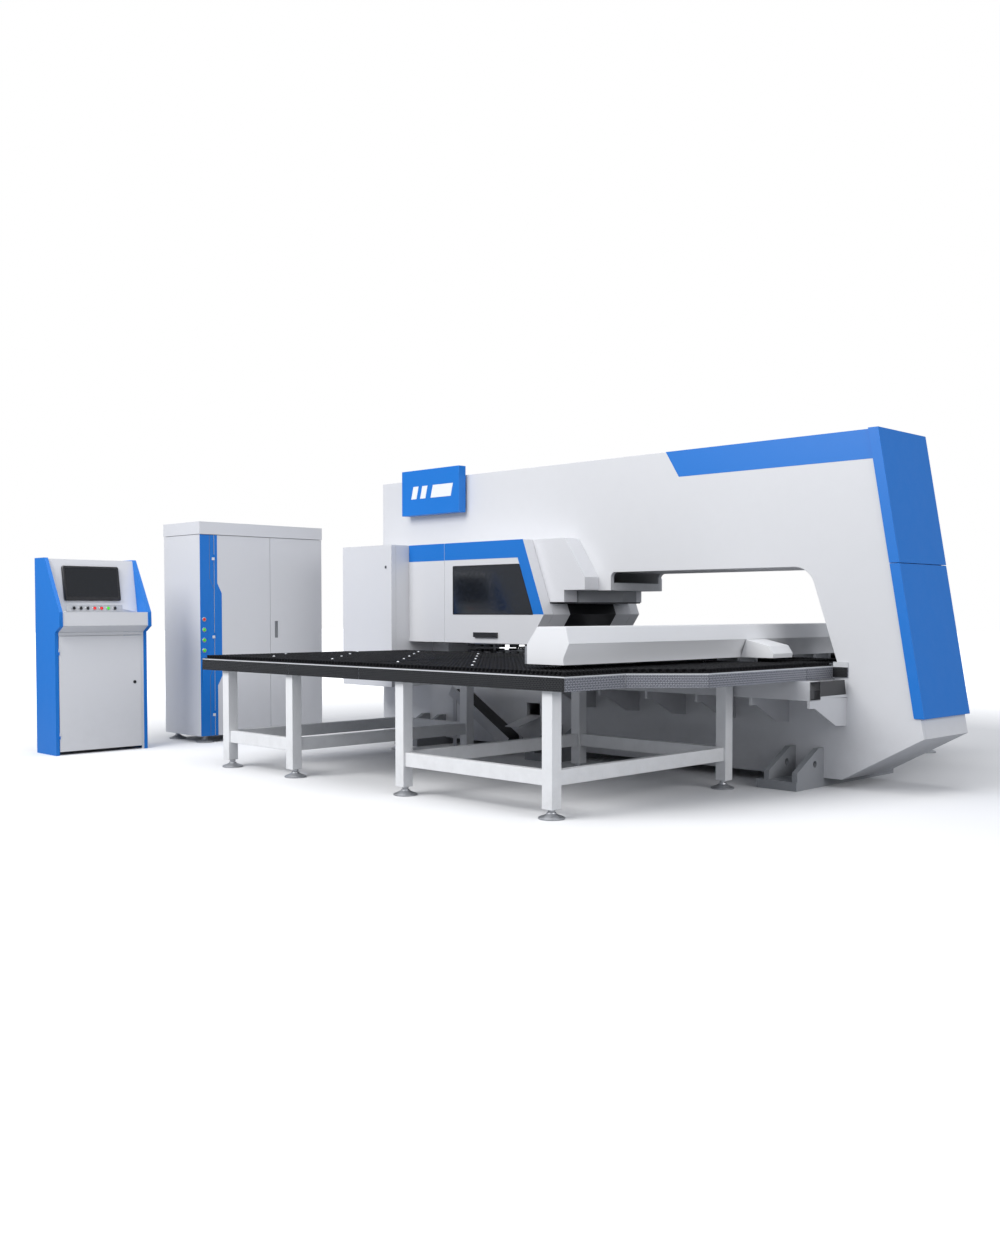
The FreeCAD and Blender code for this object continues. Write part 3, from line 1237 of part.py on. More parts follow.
bed = bed.multiFuse(bed_ties).removeSplitter()
add("conveyor_frame", walls + legs + [bed, chute])
add("conveyor_belt", [belt_outer.cut(belt_inner)])
add("drive_roller", [roller(high)])
add("return_roller", [roller(low)])


# ---------------------------------------------------------------- electrical cabinet
front_y = CAB_Y0 + CAB_DOOR
cab_shell = shell_box((CAB_X0, cab_x1), (front_y + PANEL_GAP, cab_y1), (CAB_LOW, CAB_TOP), CAB_WALL, "-y")
cap = box((CAB_X0 - 4, cab_x1 + 4), (CAB_Y0 - 4, cab_y1 + 4), (CAB_TOP + CAB_GAP, CAB_TOP + CAP_HEIGHT))
cap_seat = box((CAB_X0 + 20, cab_x1 - 20), (front_y + 20, cab_y1 - 20), (CAB_TOP, CAB_TOP + CAB_GAP))
door_x0 = CAB_X0 + CAB_FIXED
fixed_front = box((CAB_X0, door_x0 - CAB_GAP), (CAB_Y0, front_y + PANEL_GAP), (CAB_LOW, CAB_TOP))
hole_depth = CAB_DOOR + 12
hole_r = BUTTON_R + BUTTON_GAP
hole_starts = [(CAB_BUTTON_X, CAB_Y0 - 9, z) for z in CAB_BUTTON_ZS]
button_holes = Part.makeCompound([rod(hole_r, start, (0, 1, 0), hole_depth) for start in hole_starts])
fixed_front = fixed_front.cut(button_holes)
plate_zs = (CAB_BUTTON_ZS[-1] - 67, CAB_BUTTON_ZS[0] + 139)
button_plate = box((CAB_BUTTON_X - 28, CAB_BUTTON_X + 28), (CAB_Y0 - 3, CAB_Y0), plate_zs).cut(button_holes)
cab_hinge_zs = (CAB_LOW + 200, (CAB_LOW + CAB_TOP) / 2, CAB_TOP - 200)
left_seam = door_x0 - CAB_GAP / 2
left_points = [(left_seam, CAB_Y0, z) for z in cab_hinge_zs]
left_halves, left_door_halves = hinges(left_points, (1, 0, 0), (0, -1, 0), -1)
right_seam = front_y + PANEL_GAP / 2
right_points = [(cab_x1, right_seam, z) for z in cab_hinge_zs]
right_halves, right_door_halves = hinges(right_points, (0, -1, 0), (1, 0, 0), 1)
cab_fixed = [fixed_front, button_plate, cap, cap_seat] + left_halves + right_halves
add("cabinet_shell", cab_shell + cab_fixed)
left_door = box((door_x0, CAB_SEAM_X - CAB_GAP / 2), (CAB_Y0, front_y), (CAB_LOW, CAB_TOP))
add("cabinet_door_left", [left_door] + left_door_halves)
right_door = box((CAB_SEAM_X + CAB_GAP / 2, cab_x1), (CAB_Y0, front_y), (CAB_LOW, CAB_TOP))
grip = box((CAB_SEAM_X + 50, CAB_SEAM_X + 84), (CAB_Y0 - 1, CAB_Y0 + 14), (932, 1087))
add("cabinet_door_right", [right_door.cut(grip)] + right_door_halves)


def push_button(x, z):
    face = CAB_Y0 - 3
    return rod(BUTTON_R, (x, face - BUTTON_PROUD, z), (0, 1, 0), BUTTON_PROUD + 12)


for index, z in enumerate(CAB_BUTTON_ZS):
    add("cabinet_button_%d" % (index + 1), [push_button(CAB_BUTTON_X, z)])


# ---------------------------------------------------------------- operator console
con_x1 = CON_X0 + CON_WIDTH
side_profile = [
    (CON_BACK_Y, CON_FLOOR),
    (CON_BACK_Y, CON_TOP),
    (CON_TOP_Y, CON_TOP),
    (CON_LIP_Y + 4, CON_DESK_Z),
    (CON_LIP_Y, CON_APRON_Z),
    (CON_FRONT_Y, CON_KNEE_Z),
    (CON_FRONT_Y, CON_FLOOR),
]
body_x = (CON_X0 + CON_SIDE, con_x1 - CON_SIDE)
con_seam = CON_X0 + CON_SIDE + 2
con_hinge_zs = (CON_DOOR_Z0 + 130, CON_DOOR_Z1 - 130)
con_points = [(con_seam, CON_FRONT_Y, z) for z in con_hinge_zs]
con_halves, con_door_halves = hinges(con_points, (1, 0, 0), (0, -1, 0), -1)
con_sides = [prism_x(side_profile, CON_X0, body_x[0]), prism_x(side_profile, body_x[1], con_x1)]
add("console_sides", con_sides + con_halves)

# The sloping face: s runs up the slope from the desk edge, n stands out from it
head_point = Vector(0, CON_TOP_Y + 6, CON_TOP - 10)
foot_point = Vector(0, head_point.y - CON_FACE_RUN, CON_DESK_Z)
up_slope = (head_point - foot_point).normalize()
out_slope = Vector(0, -up_slope.z, up_slope.y)
slope_length = (head_point - foot_point).Length


def on_slope(s0, s1, n0, n1, x0, x1):
    """A slab on the sloping face between two distances up it and two heights above it."""
    corners = [(s0, n0), (s1, n0), (s1, n1), (s0, n1)]
    points = [foot_point + up_slope * s + out_slope * n for s, n in corners]
    return prism_x([(point.y, point.z) for point in points], x0, x1)


c = CON_PANEL
face_panel = on_slope(0, slope_length, -c, 0, *body_x)
back_panel = box(body_x, (CON_BACK_Y - c, CON_BACK_Y), (CON_FLOOR + c, CON_TOP - 12))
top_panel = box(body_x, (head_point.y + 4, CON_BACK_Y), (CON_TOP - 12, CON_TOP - 12 + c))
floor_panel = box(body_x, (CON_FRONT_Y + 2, CON_BACK_Y), (CON_FLOOR, CON_FLOOR + c))
desk_y = CON_LIP_Y + 10
desk = box(body_x, (desk_y, foot_point.y), (CON_DESK_Z - c, CON_DESK_Z))
apron_y = CON_LIP_Y + 8
apron_section = [(desk_y, CON_DESK_Z - c), (apron_y, CON_APRON_Z + 4), (apron_y + c, CON_APRON_Z + 6),
                 (desk_y + c, CON_DESK_Z - c)]
apron = prism_x(apron_section, *body_x)
knee_y = CON_FRONT_Y + 4
knee_section = [(apron_y, CON_APRON_Z + 3), (knee_y, CON_KNEE_Z + 2), (knee_y, CON_KNEE_Z + 2 + c),
                (apron_y + c, CON_APRON_Z + 3 + c / 2)]
knee = prism_x(knee_section, *body_x)
header = box(body_x, (knee_y, knee_y + c), (CON_DOOR_Z1 + 3, CON_KNEE_Z + 1))
door_x = (CON_X0 + CON_SIDE + 4, con_x1 - CON_SIDE - 24)
post = box((door_x[1] + 3, body_x[1]), (knee_y, knee_y + c), (CON_FLOOR + c, CON_DOOR_Z1 + 2))

strip_s0 = 3.0
strip_x0 = CON_X0 + STRIP_OFFSET
strip_mid_s = strip_s0 + STRIP_HEIGHT / 2
control_xs = [CON_X0 + CONTROL_OFFSET + CONTROL_PITCH * index for index in range(CONTROL_COUNT)]


def control_rod(x, radius, n0, n1):
    start = foot_point + up_slope * strip_mid_s + out_slope * n0
    return rod(radius, (x, start.y, start.z), tuple(out_slope), n1 - n0)


strip = on_slope(strip_s0, strip_s0 + STRIP_HEIGHT, 0, 3, strip_x0, strip_x0 + STRIP_WIDTH)
control_holes = Part.makeCompound([control_rod(x, BUTTON_R + BUTTON_GAP, -20, 12) for x in control_xs])
face_panel = face_panel.cut(control_holes)
add("console_body", [face_panel, back_panel, top_panel, floor_panel, desk, apron, knee, header, post,
                     strip.cut(control_holes)])
monitor_s0 = strip_s0 + STRIP_HEIGHT + 34
monitor_x0 = CON_X0 + MONITOR_OFFSET
monitor_x1 = monitor_x0 + MONITOR_WIDTH
monitor_s1 = monitor_s0 + MONITOR_HEIGHT
add("console_monitor", [on_slope(monitor_s0, monitor_s1, 0, MONITOR_THICK, monitor_x0, monitor_x1)])
console_lock = rod(LOCK_R, (door_x[1] - 62, CON_FRONT_Y - 5, 578), (0, 1, 0), 5)
door_slab = box(door_x, (CON_FRONT_Y, CON_FRONT_Y + CON_DOOR_THICK), (CON_DOOR_Z0, CON_DOOR_Z1))
add("console_door", [door_slab, console_lock] + con_door_halves)

# Controls along the strip: 0 to 2 and 6 are selector knobs, 3 to 5 are push buttons
SELECTORS = (0, 1, 2, 6)
for index, x in enumerate(control_xs):
    shape = control_rod(x, BUTTON_R, -15, 3 + BUTTON_PROUD)
    if index in SELECTORS:
        lever_n = 3 + BUTTON_PROUD
        lever = on_slope(strip_mid_s - 14, strip_mid_s + 14, lever_n, lever_n + 11, x - 4, x + 4)
        shape = shape.fuse(lever).removeSplitter()
        add("selector_%d" % (index + 1), [shape])
    else:
        add("push_button_%d" % (index + 1), [shape])


# ---------------------------------------------------------------- write the sub-parts
def main():
    os.makedirs("parts", exist_ok=True)
    for name, shapes in nodes.items():
        Part.makeCompound(shapes).exportStep("parts/%s.step" % name)
    print(len(nodes), "sub-parts written")


main()
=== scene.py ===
"""Looks of a turret punch press: painted plates, covers, brush tables, steel fittings, cabinet and console.

Every new piece is worked out in metres in the machine's own frame. +X runs along the gantry beam, +Y along
the frame towards the cabinet, +Z up.
"""

import json
import logging
import math
from dataclasses import dataclass, field
from enum import Enum
from typing import Iterable, Optional, Sequence

import bmesh
import bpy
import numpy as np
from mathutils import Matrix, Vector

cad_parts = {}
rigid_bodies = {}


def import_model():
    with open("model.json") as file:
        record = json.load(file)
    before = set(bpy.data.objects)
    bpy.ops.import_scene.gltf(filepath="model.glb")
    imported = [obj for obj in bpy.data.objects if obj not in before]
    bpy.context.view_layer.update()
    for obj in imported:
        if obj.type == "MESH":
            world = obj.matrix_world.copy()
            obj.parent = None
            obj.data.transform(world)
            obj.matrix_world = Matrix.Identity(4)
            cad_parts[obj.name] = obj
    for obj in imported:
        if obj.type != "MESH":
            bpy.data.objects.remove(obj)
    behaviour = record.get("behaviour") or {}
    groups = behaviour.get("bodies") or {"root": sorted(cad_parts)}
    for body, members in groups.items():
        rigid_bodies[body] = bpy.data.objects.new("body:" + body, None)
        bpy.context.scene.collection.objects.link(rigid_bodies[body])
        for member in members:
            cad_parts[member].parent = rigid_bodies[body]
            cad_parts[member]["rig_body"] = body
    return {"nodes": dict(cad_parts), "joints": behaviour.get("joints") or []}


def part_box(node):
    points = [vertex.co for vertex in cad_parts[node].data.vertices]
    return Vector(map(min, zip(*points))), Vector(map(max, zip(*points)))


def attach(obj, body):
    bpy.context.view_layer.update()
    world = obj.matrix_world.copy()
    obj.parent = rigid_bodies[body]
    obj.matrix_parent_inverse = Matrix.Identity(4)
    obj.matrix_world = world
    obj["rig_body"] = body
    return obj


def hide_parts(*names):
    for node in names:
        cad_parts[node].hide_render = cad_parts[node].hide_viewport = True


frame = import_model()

LOG = logging.getLogger("punch_press")
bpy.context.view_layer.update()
Colour = tuple[float, float, float]
Point2 = tuple[float, float]
Point3 = tuple[float, float, float]
FILM = 0.0001
BEZEL_GAP = 0.0006
BEZEL_R = 0.021
BEZEL_TALL = 0.004


# ---------------------------------------------------------------- shapes as arrays
class Axis(Enum):
    """The direction a flat outline is carried along, and the two directions the outline lies in."""

    X = (1, 2, 0)
    Y = (0, 2, 1)
    Z = (0, 1, 2)


@dataclass
class Shape:
    """Points of a mesh as an (n, 3) array, and its faces as lists of point numbers."""

    points: np.ndarray
    faces: list[list[int]]

    def moved(self, offsets: np.ndarray) -> "Shape":
        """Copies the shape once at each offset.

        Args:
            offsets: an (m, 3) array; copy k's points are the shape's points plus offset k.

        Returns:
            All the copies as one shape.
        """
        offsets = np.atleast_2d(np.asarray(offsets, float))
        points = (offsets[:, None, :] + self.points[None, :, :]).reshape(-1, 3)
        size = len(self.points)
        faces: list[list[int]] = []
        for sides in sorted({len(face) for face in self.faces}):
            same = np.array([face for face in self.faces if len(face) == sides])
            every = same[None, :, :] + size * np.arange(len(offsets))[:, None, None]
            faces.extend(every.reshape(-1, sides).tolist())
        return Shape(points, faces)


def joined(shapes: Iterable[Shape]) -> Shape:
    """Puts several shapes into one.

    Args:
        shapes: the shapes, in order.

    Returns:
        One shape that holds them all.
    """
    points: list[np.ndarray] = []
    faces: list[list[int]] = []
    start = 0
    for shape in shapes:
        points.append(shape.points)
        faces.extend([[index + start for index in face] for face in shape.faces])
        start += len(shape.points)
    return Shape(np.vstack(points), faces)


def rounded(outline: Sequence[Point2], radius: float, steps: int = 4) -> np.ndarray:
    """Rounds every corner of a closed outline.

    Each corner is replaced by points on the curve (1-t)^2 a + 2t(1-t) c + t^2 b, where c is the corner and a
    and b are the points on its two sides at the given distance from it, or half the side if that is less.

    Args:
        outline: the corners in order.
        radius: the distance from each corner at which the curve starts.
        steps: the number of spans in each curve.

    Returns:
        The rounded outline as an (n, 2) array.
    """
    corner = np.asarray(outline, float)
    back = np.roll(corner, 1, axis=0) - corner
    ahead = np.roll(corner, -1, axis=0) - corner
    back_long = np.linalg.norm(back, axis=1, keepdims=True)
    ahead_long = np.linalg.norm(ahead, axis=1, keepdims=True)
    a = corner + back / back_long * np.minimum(radius, back_long * 0.49)
    b = corner + ahead / ahead_long * np.minimum(radius, ahead_long * 0.49)
    t = np.linspace(0.0, 1.0, steps + 1)[None, :, None]
    curve = (1 - t) ** 2 * a[:, None] + 2 * t * (1 - t) * corner[:, None] + t**2 * b[:, None]
    return curve.reshape(-1, 2)


def shrunk(outline: np.ndarray, distance: float) -> np.ndarray:
    """Moves a closed outline inwards along the bisector of each corner.

    A corner moves by distance times (n1 + n2) / (1 + n1.n2), where n1 and n2 are its sides' inward normals.

    Args:
        outline: an (n, 2) array of corners.
        distance: how far the sides move in.

    Returns:
        The smaller outline.
    """
    after = np.roll(outline, -1, axis=0)
    area = float(np.sum(outline[:, 0] * after[:, 1] - after[:, 0] * outline[:, 1]))
    turn = 1.0 if area > 0 else -1.0
    side = after - outline
    side = side / np.linalg.norm(side, axis=1, keepdims=True)
    inward = turn * np.stack([-side[:, 1], side[:, 0]], axis=1)
    before = np.roll(inward, 1, axis=0)
    spread = 1.0 + np.sum(inward * before, axis=1, keepdims=True)
    return outline + distance * (inward + before) / np.maximum(spread, 0.3)


def walls(rows: int, count: int, capped: bool = True) -> list[list[int]]:
    """Faces that join rings of points one after another.

    Face j of row k is (k n + j, k n + j + 1, (k + 1) n + j + 1, (k + 1) n + j), where n is the count and
    j + 1 comes round to 0.

    Args:
        rows: the number of rings.
        count: the number of points in each ring.
        capped: whether a flat cap closes each end.

    Returns:
        The faces.
    """
    here = np.arange(count)
    after = np.roll(here, -1)
    faces: list[list[int]] = []
    for row in range(rows - 1):
        base, over = row * count, (row + 1) * count
        faces.extend(np.stack([base + here, base + after, over + after, over + here], 1).tolist())
    if capped:
        faces.append(here[::-1].tolist())
        faces.append((here + (rows - 1) * count).tolist())
    return faces


def carried(outline: Sequence[Point2] | np.ndarray, low: float, high: float, axis: Axis,
            edge: float = 0.0) -> Shape:
    """Carries a flat outline along an axis into a closed slab with eased edges.

    The slab has four rings: the outline moved in by edge at low, the outline at low + edge and at
    high - edge, and the outline moved in again at high. Flat caps close both ends.

    Args:
        outline: corners in the two directions that the axis names, in order.
        low: where the slab starts along the axis.
        high: where it ends.
        axis: the direction it is carried along.
        edge: the width of the eased edge.

    Returns:
        The closed slab.
    """
    flat = np.asarray(outline, float)
    if edge > 0:
        inner = shrunk(flat, edge)
        rings = [(inner, low), (flat, low + edge), (flat, high - edge), (inner, high)]
    else:
        rings = [(flat, low), (flat, high)]
    count = len(flat)
    u, v, w = axis.value
    points = np.zeros((len(rings), count, 3))
    for row, (ring, level) in enumerate(rings):
        points[row, :, u] = ring[:, 0]
        points[row, :, v] = ring[:, 1]
        points[row, :, w] = level
    return Shape(points.reshape(-1, 3), walls(len(rings), count))


def turned(profile: Sequence[Point2], centre: Sequence[float], axis: Sequence[float],
           sides: int = 32) -> Shape:
    """Turns a profile about an axis into a closed round shape.

    Point (k, j) is centre + axis * height_k + radius_k * (p cos a_j + q sin a_j), where p and q are two
    directions square to the axis and a_j goes once round. The first and last rings are capped flat.

    Args:
        profile: (radius, height) pairs from one end to the other.
        centre: the point on the axis at height 0.
        axis: the axis direction.
        sides: the number of points round each ring.

    Returns:
        The closed round shape.
    """
    along = np.asarray(axis, float)
    along = along / np.linalg.norm(along)
    seed = np.array([0.0, 0.0, 1.0]) if abs(along[2]) < 0.9 else np.array([1.0, 0.0, 0.0])
    p = np.cross(seed, along)
    p = p / np.linalg.norm(p)
    q = np.cross(along, p)
    angle = 2 * np.pi * np.arange(sides) / sides
    ring = np.outer(np.cos(angle), p) + np.outer(np.sin(angle), q)
    rows = np.asarray(profile, float)
    points = np.asarray(centre, float) + rows[:, 1, None, None] * along + rows[:, 0, None, None] * ring[None]
    return Shape(points.reshape(-1, 3), walls(len(rows), sides))


def collar(centre: Sequence[float], axis: Sequence[float], inner: float, outer: float, tall: float) -> Shape:
    """A ring with a rounded outer rim, open through its middle.

    The section is carried once round the axis: out along the base, up the rim, in over the top and down
    the bore.

    Args:
        centre: the middle of its base.
        axis: the way it stands.
        inner: the bore's radius.
        outer: the rim's radius.
        tall: its height.

    Returns:
        The closed ring.
    """
    sides = 32
    section = [(inner, 0.0), (outer, 0.0), (outer, tall * 0.6), (outer - tall * 0.4, tall), (inner, tall)]
    shape = turned(section, centre, axis, sides)
    last = (len(section) - 1) * sides
    here = np.arange(sides)
    after = np.roll(here, -1)
    bore = np.stack([last + here, last + after, after, here], 1).tolist()
    return Shape(shape.points, walls(len(section), sides, capped=False) + bore)


def node_points(node: str) -> np.ndarray:
    """The vertices of a CAD node as an (n, 3) array."""
    source = frame["nodes"][node].data
    points = np.zeros(len(source.vertices) * 3)
    source.vertices.foreach_get("co", points)
    return points.reshape(-1, 3)


# ---------------------------------------------------------------- shader building
class Nodes:
    """Short calls for adding and joining shader nodes in one tree."""

    def __init__(self, tree: bpy.types.NodeTree) -> None:
        """Keeps the tree that nodes go into."""
        self.tree = tree

    def add(self, kind: str, **settings: object) -> bpy.types.Node:
        """Adds a node and sets its properties.

        Args:
            kind: the node's type name.
            settings: property names and values.

        Returns:
            The node.
        """
        node = self.tree.nodes.new(kind)
        for name, value in settings.items():
            setattr(node, name, value)
        return node

    def put(self, value: object, socket: bpy.types.NodeSocket) -> None:
        """Joins an output to a socket, or sets the socket if the value is a number or colour."""
        if isinstance(value, bpy.types.NodeSocket):
            self.tree.links.new(value, socket)
        else:
            socket.default_value = value

    def math(self, operation: str, a: object, b: object = 0.0, clamp: bool = False) -> bpy.types.NodeSocket:
        """Adds a Math node.

        Args:
            operation: the Math node's operation.
            a: the first value.
            b: the second value.
            clamp: whether the result is kept from 0 to 1.

        Returns:
            The result.
        """
        node = self.add("ShaderNodeMath", operation=operation, use_clamp=clamp)
        self.put(a, node.inputs[0])
        self.put(b, node.inputs[1])
        return node.outputs[0]

    def between(self, value: object, low: float, high: float, out_low: float,
                out_high: float) -> bpy.types.NodeSocket:
        """Maps a value from one range to another, kept inside the second."""
        node = self.add("ShaderNodeMapRange")
        for index, item in enumerate((value, low, high, out_low, out_high)):
            self.put(item, node.inputs[index])
        return node.outputs[0]

    def blend(self, share: object, first: object, second: object) -> bpy.types.NodeSocket:
        """Mixes two colours; share is how much of the second shows."""
        node = self.add("ShaderNodeMix", data_type="RGBA", blend_type="MIX")
        self.put(share, node.inputs["Factor"])
        self.put(first, node.inputs[6])
        self.put(second, node.inputs[7])
        return node.outputs[2]

    def noise(self, where: object, scale: object, detail: float = 4.0,
              rough: float = 0.55) -> bpy.types.NodeSocket:
        """Adds a Noise texture and returns its grey value."""
        node = self.add("ShaderNodeTexNoise")
        self.put(where, node.inputs["Vector"])
        self.put(scale, node.inputs["Scale"])
        node.inputs["Detail"].default_value = detail
        node.inputs["Roughness"].default_value = rough
        return node.outputs["Fac"]

    def place(self, stretch: Sequence[float] = (1, 1, 1)) -> bpy.types.NodeSocket:
        """Object coordinates, stretched by a Mapping node."""
        coordinates = self.add("ShaderNodeTexCoord")
        mapping = self.add("ShaderNodeMapping")
        self.tree.links.new(coordinates.outputs["Object"], mapping.inputs["Vector"])
        mapping.inputs["Scale"].default_value = tuple(stretch)
        return mapping.outputs["Vector"]


GroupStart = tuple[bpy.types.NodeTree, Nodes, bpy.types.Node, bpy.types.Node]


def new_group(name: str, numbers: dict[str, float], colours: dict[str, Colour]) -> GroupStart:
    """Starts a shader node group whose outputs are Color, Roughness and Height.

    Args:
        name: the group's name.
        numbers: float inputs and their defaults.
        colours: colour inputs and their defaults.

    Returns:
        The tree, its node builder, the group's input node and its output node.
    """
    tree = bpy.data.node_groups.new(name, "ShaderNodeTree")
    for label, value in colours.items():
        socket = tree.interface.new_socket(label, in_out="INPUT", socket_type="NodeSocketColor")
        socket.default_value = (*value, 1.0)
    for label, value in numbers.items():
        socket = tree.interface.new_socket(label, in_out="INPUT", socket_type="NodeSocketFloat")
        socket.default_value = value
    tree.interface.new_socket("Color", in_out="OUTPUT", socket_type="NodeSocketColor")
    tree.interface.new_socket("Roughness", in_out="OUTPUT", socket_type="NodeSocketFloat")
    tree.interface.new_socket("Height", in_out="OUTPUT", socket_type="NodeSocketFloat")
    builder = Nodes(tree)
    return tree, builder, builder.add("NodeGroupInput"), builder.add("NodeGroupOutput")


class Surface(Enum):
    """The kinds of surface that finishes are made of."""

    POWDER_COAT = "powder_coat"
    GROUND_STEEL = "ground_steel"
    TREAD_PLATE = "tread_plate"
    BRISTLE = "bristle"
    MOULDED = "moulded"


def powder_coat_group() -> bpy.types.NodeTree:
    """Powder coat: a fine orange peel, a slow drift of tone, and dust that gathers low on the machine.

    Returns:
        The node group.
    """
    numbers = {"Roughness": 0.38, "Drift": 0.03, "Dust": 0.1, "Peel": 900.0}
    colours = {"Paint": (0.8, 0.8, 0.8), "Dust Color": (0.42, 0.41, 0.4)}
    tree, n, inlet, outlet = new_group("powder_coat", numbers, colours)
    where = n.place()
    slow = n.noise(where, 1.7, 3.0)
    fine = n.noise(where, inlet.outputs["Peel"], 2.0)
    cloud = n.noise(where, 9.0, 5.0, 0.65)
    tone = n.math("MULTIPLY", n.math("SUBTRACT", slow, 0.5), inlet.outputs["Drift"])
    bright = n.math("ADD", tone, 1.0)
    shade = n.add("ShaderNodeVectorMath", operation="SCALE")
    n.put(inlet.outputs["Paint"], shade.inputs[0])
    n.put(bright, shade.inputs["Scale"])
    split = n.add("ShaderNodeSeparateXYZ")
    n.put(where, split.inputs[0])
    low = n.between(split.outputs["Z"], 0.0, 0.5, 1.0, 0.12)
    patches = n.math("MULTIPLY", low, n.between(cloud, 0.4, 0.75, 0.0, 1.0))
    dusty = n.math("MULTIPLY", patches, inlet.outputs["Dust"])
    n.put(n.blend(dusty, shade.outputs[0], inlet.outputs["Dust Color"]), outlet.inputs["Color"])
    rough = n.math("ADD", inlet.outputs["Roughness"], n.between(cloud, 0.3, 0.7, -0.03, 0.05))
    n.put(n.math("ADD", rough, n.math("MULTIPLY", dusty, 0.3), clamp=True), outlet.inputs["Roughness"])
    peel = n.math("ADD", n.math("MULTIPLY", fine, 0.7), n.math("MULTIPLY", cloud, 0.3))
    n.put(peel, outlet.inputs["Height"])
    return tree


def ground_steel_group() -> bpy.types.NodeTree:
    """Ground or rolled steel: fine scratches stretched along one direction, and a faint oil mottling.

    Returns:
        The node group.
    """
    tree, n, inlet, outlet = new_group("ground_steel", {"Roughness": 0.32, "Contrast": 0.25},
                                       {"Metal": (0.6, 0.6, 0.62), "Stain": (0.3, 0.28, 0.26)})
    across = n.noise(n.place((40, 900, 900)), 1.0, 3.0)
    along = n.noise(n.place((900, 40, 300)), 1.0, 3.0)
    mottle = n.noise(n.place(), 14.0, 5.0, 0.6)
    lines = n.math("MULTIPLY", n.math("ADD", across, along), 0.5)
    share = n.math("MULTIPLY", n.between(mottle, 0.45, 0.8, 0.0, 1.0), inlet.outputs["Contrast"])
    tinted = n.blend(share, inlet.outputs["Metal"], inlet.outputs["Stain"])
    shade = n.add("ShaderNodeVectorMath", operation="SCALE")
    n.put(tinted, shade.inputs[0])
    n.put(n.between(lines, 0.35, 0.65, 0.9, 1.06), shade.inputs["Scale"])
    n.put(shade.outputs[0], outlet.inputs["Color"])
    rough = n.math("ADD", inlet.outputs["Roughness"], n.between(lines, 0.35, 0.65, -0.07, 0.09))
    n.put(n.math("ADD", rough, n.math("MULTIPLY", share, 0.25), clamp=True), outlet.inputs["Roughness"])
    n.put(lines, outlet.inputs["Height"])
    return tree


def tread_plate_group() -> bpy.types.NodeTree:
    """Tread plate: raised lozenges that lean left and right in turn, with a painted highlight: a bright band
    above Lip, where the plate's top bend catches the light.

    The height of a lozenge is 1 - sqrt((along / half length)^2 + (across / half width)^2), where along and
    across are measured from the middle of its cell on axes at 45 degrees, leaning by the cell's parity.

    Returns:
        The node group.
    """
    numbers = {"Pitch": 0.014, "Roughness": 0.4, "Lip": 0.808}
    colours = {"Hollow": (0.16, 0.165, 0.19), "Crown": (0.6, 0.615, 0.66), "Highlight": (0.7, 0.71, 0.73)}
    tree, n, inlet, outlet = new_group("tread_plate", numbers, colours)
    split = n.add("ShaderNodeSeparateXYZ")
    n.put(n.place(), split.inputs[0])
    sideways = n.math("SUBTRACT", split.outputs["X"], split.outputs["Y"])
    u = n.math("DIVIDE", sideways, inlet.outputs["Pitch"])
    v = n.math("DIVIDE", split.outputs["Z"], inlet.outputs["Pitch"])
    parity = n.math("FLOORED_MODULO", n.math("ADD", n.math("FLOOR", u), n.math("FLOOR", v)), 2.0)
    lean = n.math("SUBTRACT", n.math("MULTIPLY", parity, 2.0), 1.0)
    x = n.math("SUBTRACT", n.math("FRACT", u), 0.5)
    z = n.math("MULTIPLY", n.math("SUBTRACT", n.math("FRACT", v), 0.5), lean)
    along = n.math("DIVIDE", n.math("ADD", x, z), 0.86)
    across = n.math("DIVIDE", n.math("SUBTRACT", x, z), 0.25)
    reach = n.math("SQRT", n.math("ADD", n.math("POWER", n.math("ABSOLUTE", along), 2.0),
                                  n.math("POWER", n.math("ABSOLUTE", across), 2.0)))
    lozenge = n.between(n.math("SUBTRACT", 1.0, reach), 0.0, 0.45, 0.0, 1.0)
    worn = n.noise(n.place(), 60.0, 4.0)
    share = n.math("MULTIPLY", lozenge, n.between(worn, 0.3, 0.7, 0.7, 1.0))
    rolled = n.blend(share, inlet.outputs["Hollow"], inlet.outputs["Crown"])
    # Painted highlight: faces above Lip take the bright Highlight colour in place of light on the top bend.
    lip = n.math("GREATER_THAN", split.outputs["Z"], inlet.outputs["Lip"])
    n.put(n.blend(lip, rolled, inlet.outputs["Highlight"]), outlet.inputs["Color"])
    rough = n.math("SUBTRACT", inlet.outputs["Roughness"], n.math("MULTIPLY", share, 0.1))
    n.put(rough, outlet.inputs["Roughness"])
    n.put(n.math("ADD", lozenge, n.math("MULTIPLY", worn, 0.15)), outlet.inputs["Height"])
    return tree


def bristle_group() -> bpy.types.NodeTree:
    """Nylon bristles: thin upright strands seen as fine streaks, darker between the strands.

    Returns:
        The node group.
    """
    tree, n, inlet, outlet = new_group("bristle", {"Roughness": 0.62, "Strands": 900.0},
                                       {"Nylon": (0.006, 0.006, 0.007), "Tip": (0.026, 0.026, 0.029)})
    strands = n.noise(n.place((1.0, 1.0, 0.04)), inlet.outputs["Strands"], 2.0)
    patch = n.noise(n.place(), 25.0, 3.0)
    share = n.math("MULTIPLY", n.between(strands, 0.42, 0.62, 0.0, 1.0), n.between(patch, 0.3, 0.7, 0.5, 1.0))
    n.put(n.blend(share, inlet.outputs["Nylon"], inlet.outputs["Tip"]), outlet.inputs["Color"])
    rough = n.math("ADD", inlet.outputs["Roughness"], n.between(patch, 0.3, 0.7, -0.06, 0.1))
    n.put(rough, outlet.inputs["Roughness"])
    n.put(strands, outlet.inputs["Height"])
    return tree


